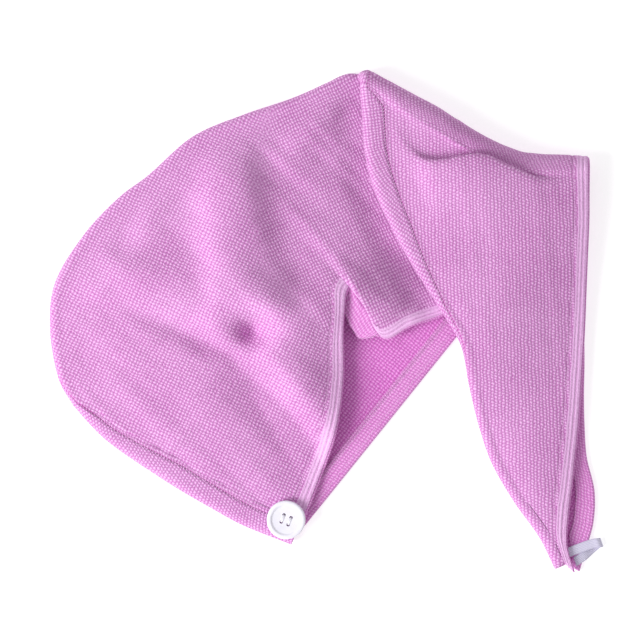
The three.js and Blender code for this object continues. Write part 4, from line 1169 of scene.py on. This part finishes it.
def seam_ridge():
    """The ridge as a bmesh: a ring of cloth drawn along the line where the two panels meet."""
    low, _ = edge_ring(False, 1)
    high, _ = edge_ring(True, 1)
    middle = (low + high) / 2
    along = unit(np.gradient(middle, axis=0))
    across = unit(low - high)
    across = unit(across - (across * along).sum(1)[:, None] * along)
    up = np.cross(along, across)
    bm = bmesh.new()
    ring = bmesh.ops.create_circle(bm, segments=SEAM_SIDES, radius=1)["verts"]
    angles = [math.atan2(vert.co.y, vert.co.x) for vert in ring]
    edges = list(bm.edges)
    rings = [ring]

    def spot(x, y):
        return round(x, 5), round(y, 5)

    for _ in range(len(middle) - 1):
        made = bmesh.ops.extrude_edge_only(bm, edges=edges)["geom"]
        edges = [item for item in made if isinstance(item, bmesh.types.BMEdge) and item.is_boundary]
        fresh = {spot(*item.co[:2]): item for item in made if isinstance(item, bmesh.types.BMVert)}
        rings.append([fresh[spot(math.cos(a), math.sin(a))] for a in angles])
    for k, ring in enumerate(rings):
        for vert, angle in zip(ring, angles):
            off = across[k] * math.cos(angle) + up[k] * math.sin(angle)
            vert.co = in_frame(middle[k] + off * SEAM_RIDGE)
    bmesh.ops.recalc_face_normals(bm, faces=bm.faces)
    return bm, middle, across, up


ridge_bm, seam_middle, seam_across, seam_up = seam_ridge()
# The ridge is a dark magenta, far darker than the cloth on either side: painted shade of the crease along
# the seam.
seam_shade_cloth = thread_look("seam_shade_cloth", (0.6, 0.12, 0.48), (0.42, 0.04, 0.33))
long_seam = mesh_object("long_seam", ridge_bm, seam_shade_cloth)
on_towel(long_seam, "towelling")


def seam_stitches():
    """Small stitches across the seam's ridge, on both of its faces."""
    run = np.concatenate([[0], np.cumsum(length_of(np.diff(seam_middle, axis=0)))])

    def part_way(line, length):
        return np.array([np.interp(length, run, line[:, axis]) for axis in range(3)])

    strands = []
    for length in np.arange(2, run[-1] - 2, SEAM_STITCH_STEP):
        place, across, up = (part_way(line, length) for line in (seam_middle, seam_across, seam_up))
        ahead = part_way(seam_middle, length + SEAM_STITCH_LEAN)
        reach = across * SEAM_STITCH_REACH
        for face in (1, -1):
            lift = up * face * (SEAM_RIDGE + 0.05)
            low = lift * SEAM_STITCH_DROP
            strands.append([place + reach + low, place + lift, ahead - reach + low])
    return strands


seam_thread = sewn("seam_stitches", seam_stitches(), SEAM_THREAD, lilac_thread, "towelling")


# The elastic loop is a flat ribbed band, very pale lavender. Its two ends are sewn in between the
# layers of the tail's tip, and it leans out flat to one side.
LOOP_WIDTH = 6.5
LOOP_CLOTH = 1.1
LOOP_STEPS = 72
LOOP_ROWS = 6
LOOP_RIB = 0.0011
LOOP_WAY = table(
    "at x y height",
    (0, 0.437, -0.456, 0.5),
    (0.2, 0.458, -0.447, 0.5),
    (0.38, 0.482, -0.438, 0.42),
    (0.47, 0.493, -0.436, 0.4),
    (0.5, 0.498, -0.436, 0.22),
    (0.53, 0.494, -0.438, 0.04),
    (0.65, 0.482, -0.448, 0.02),
    (0.8, 0.466, -0.463, 0.32),
    (1, 0.45, -0.474, 0.35),
)


def elastic_band():
    """The loop's middle surface as a bmesh, with its length and width in its UV map."""
    along = np.linspace(0, 1, LOOP_STEPS + 1)
    low = LOOP_CLOTH / 2 + SEAM_GAP
    high = FLOOR_LAYER + 2 * EDGE_RADIUS
    heights = mix(low, high, smooth(LOOP_WAY, "height", along))
    line = np.concatenate([on_line(LOOP_WAY, along), heights[:, None]], 1)
    lean = unit(on_line(LOOP_WAY, np.array([0.4])) - on_line(LOOP_WAY, np.array([0.1])))[0]
    sideways = np.array([-lean[1], lean[0], 0])
    run = np.concatenate([[0], np.cumsum(length_of(np.diff(line, axis=0)))])
    bm = bmesh.new()
    bmesh.ops.create_grid(bm, x_segments=LOOP_STEPS, y_segments=LOOP_ROWS, size=0.5)
    spots = np.array([vert.co[:2] for vert in bm.verts])
    k = np.rint((spots[:, 0] + 0.5) * LOOP_STEPS).astype(int)
    off = spots[:, 1] * LOOP_WIDTH
    lay_weave(bm, np.stack([run[k], off], 1))
    for vert, place in zip(bm.verts, in_frame(line[k] + sideways * off[:, None])):
        vert.co = place
    return bm


elastic_lavender, shader = new_material("elastic_lavender")
place = cloth_place(shader)
parts = shader.id_data.nodes.new("ShaderNodeSeparateXYZ")
feed(parts.inputs[0], place)
rib = node_maths("MULTIPLY", parts.outputs["Y"], 2 * math.pi / LOOP_RIB)
rib = node_maths("MULTIPLY_ADD", node_maths("COSINE", rib), 0.35, 0.5)
rib = uneven(rib, node_noise(place, 1300), 0.5)
# Painted shade: the band is darker in the grooves between its ribs, where the rib height is low.
feed(shader.inputs["Base Color"], node_mix(rib, (0.5, 0.46, 0.66), (0.8, 0.77, 0.9)))
shader.inputs["Roughness"].default_value = 0.7
node_bump(shader, rib, 0.5, 0.0004)
elastic_loop = mesh_object("elastic_loop_band", elastic_band(), elastic_lavender)
give_wall(elastic_loop, LOOP_CLOTH)
on_towel(elastic_loop, "elastic", "elastic_loop")


# The button is turned from white plastic: a round rim, a shallow dish and four drilled holes. It is
# sewn on where the long seam meets the opening.
BUTTON_RADIUS = 13.5
BUTTON_THICKNESS = 3.6
BUTTON_DISH = 0.8
BUTTON_RIM = 3.2
BUTTON_RIM_SLOPE = 0.9
BUTTON_ROUND = 1.4
BUTTON_UNDER_ROUND = 1.5
BUTTON_STEPS = 96
HOLE_DIAMETER = 2.4
HOLE_PITCH = 5.2
HOLE_TURN = -22
middle_x, middle_y = ((low + high) / 2 for low, high in zip(button_low[:2], button_high[:2]))
button_middle = np.array([middle_x, middle_y, button_low[2]])


def turned_button():
    """The button without its holes, turned about its own middle."""
    flat = BUTTON_RADIUS - BUTTON_ROUND
    profile = [(0, 0), (flat, 0)]
    for angle in np.radians(np.linspace(-90, 90, 9)):
        rise = BUTTON_UNDER_ROUND if angle < 0 else BUTTON_ROUND
        middle = rise if angle < 0 else BUTTON_THICKNESS - rise
        profile.append((flat + BUTTON_ROUND * math.cos(angle), middle + rise * math.sin(angle)))
    rim_inside = BUTTON_RADIUS - BUTTON_RIM
    for share in np.linspace(0, 1, 7):
        fall = share * share * (3 - 2 * share)
        reach = rim_inside + BUTTON_RIM_SLOPE * (1 - 2 * share)
        profile.append((reach, BUTTON_THICKNESS - BUTTON_DISH * fall))
    profile.append((0, BUTTON_THICKNESS - BUTTON_DISH))
    bm = bmesh.new()
    rail = [bm.verts.new((r / 1000, 0, z / 1000)) for r, z in profile]
    edges = [bm.edges.new(pair) for pair in zip(rail, rail[1:])]
    spun = {"cent": (0, 0, 0), "axis": (0, 0, 1), "angle": 2 * math.pi}
    bmesh.ops.spin(bm, geom=rail + edges, steps=BUTTON_STEPS, use_merge=True, **spun)
    bmesh.ops.remove_doubles(bm, verts=bm.verts, dist=1e-6)
    bmesh.ops.recalc_face_normals(bm, faces=bm.faces)
    return bm


def drill():
    """Four round pins that cut the button's holes."""
    bm = bmesh.new()
    size = {"radius1": HOLE_DIAMETER / 2000, "radius2": HOLE_DIAMETER / 2000, "depth": 0.02}
    off = HOLE_PITCH / 2000
    for x in (-off, off):
        for y in (-off, off):
            pin = bmesh.ops.create_cone(bm, cap_ends=True, segments=24, **size)
            bmesh.ops.translate(bm, verts=pin["verts"], vec=(x, y, 0))
    turn = Matrix.Rotation(math.radians(HOLE_TURN), 3, "Z")
    bmesh.ops.rotate(bm, verts=bm.verts, cent=(0, 0, 0), matrix=turn)
    return bm


button_white, shader = new_material("button_white")
clouded(shader, 160, (0.76, 0.74, 0.84), (0.84, 0.82, 0.9))
shader.inputs["Roughness"].default_value = 0.28
shader.inputs["Subsurface Weight"].default_value = 0.1
shader.inputs["Subsurface Radius"].default_value = (0.002, 0.002, 0.002)
button = mesh_object("button_turned", turned_button(), button_white)
drill_pins = mesh_object("drill_pins", drill(), button_white)
cut = button.modifiers.new("holes", "BOOLEAN")
cut.object = drill_pins
cut.solver = "EXACT"
drilled = bpy.data.meshes.new_from_object(button.evaluated_get(bpy.context.evaluated_depsgraph_get()))
button.modifiers.clear()
button.data = drilled
bpy.data.objects.remove(drill_pins)
drilled.transform(Matrix.Translation(button_middle))
drilled.shade_smooth()
drilled.set_sharp_from_angle(angle=math.radians(40))
on_towel(button, "button", "button")

# The button is sewn on with white thread: three strands through each pair of holes, down into the
# cloth and back.
STRAND = 0.26
STRAND_STEP = 0.5
STRAND_DEPTH = 2.2
thread_white = thread_look("thread_white", (0.88, 0.86, 0.93), (0.8, 0.78, 0.86))


def sewn_strands():
    """The strands from hole to hole, in the dish above and under the button."""
    strands = []
    turn = np.array(Matrix.Rotation(math.radians(HOLE_TURN), 3, "Z"))
    middle = (button_middle - np.array([origin_x, origin_y, 0])) * 1000
    over = BUTTON_THICKNESS - BUTTON_DISH + 0.25
    y = HOLE_PITCH / 2
    for side in (-1, 1):
        for k in (-1, 0, 1):
            x = side * HOLE_PITCH / 2 + k * STRAND_STEP
            path = [(x, -y, -STRAND_DEPTH), (x, -y, over - 0.9), (x, -y * 0.86, over - 0.1), (x, 0, over)]
            path += [(px, -py, pz) for px, py, pz in path[2::-1]]
            strands.append(np.array(path) @ turn.T + middle)
    return strands


button_thread = sewn("button_thread_strands", sewn_strands(), STRAND, thread_white, "thread")
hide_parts("button_thread")
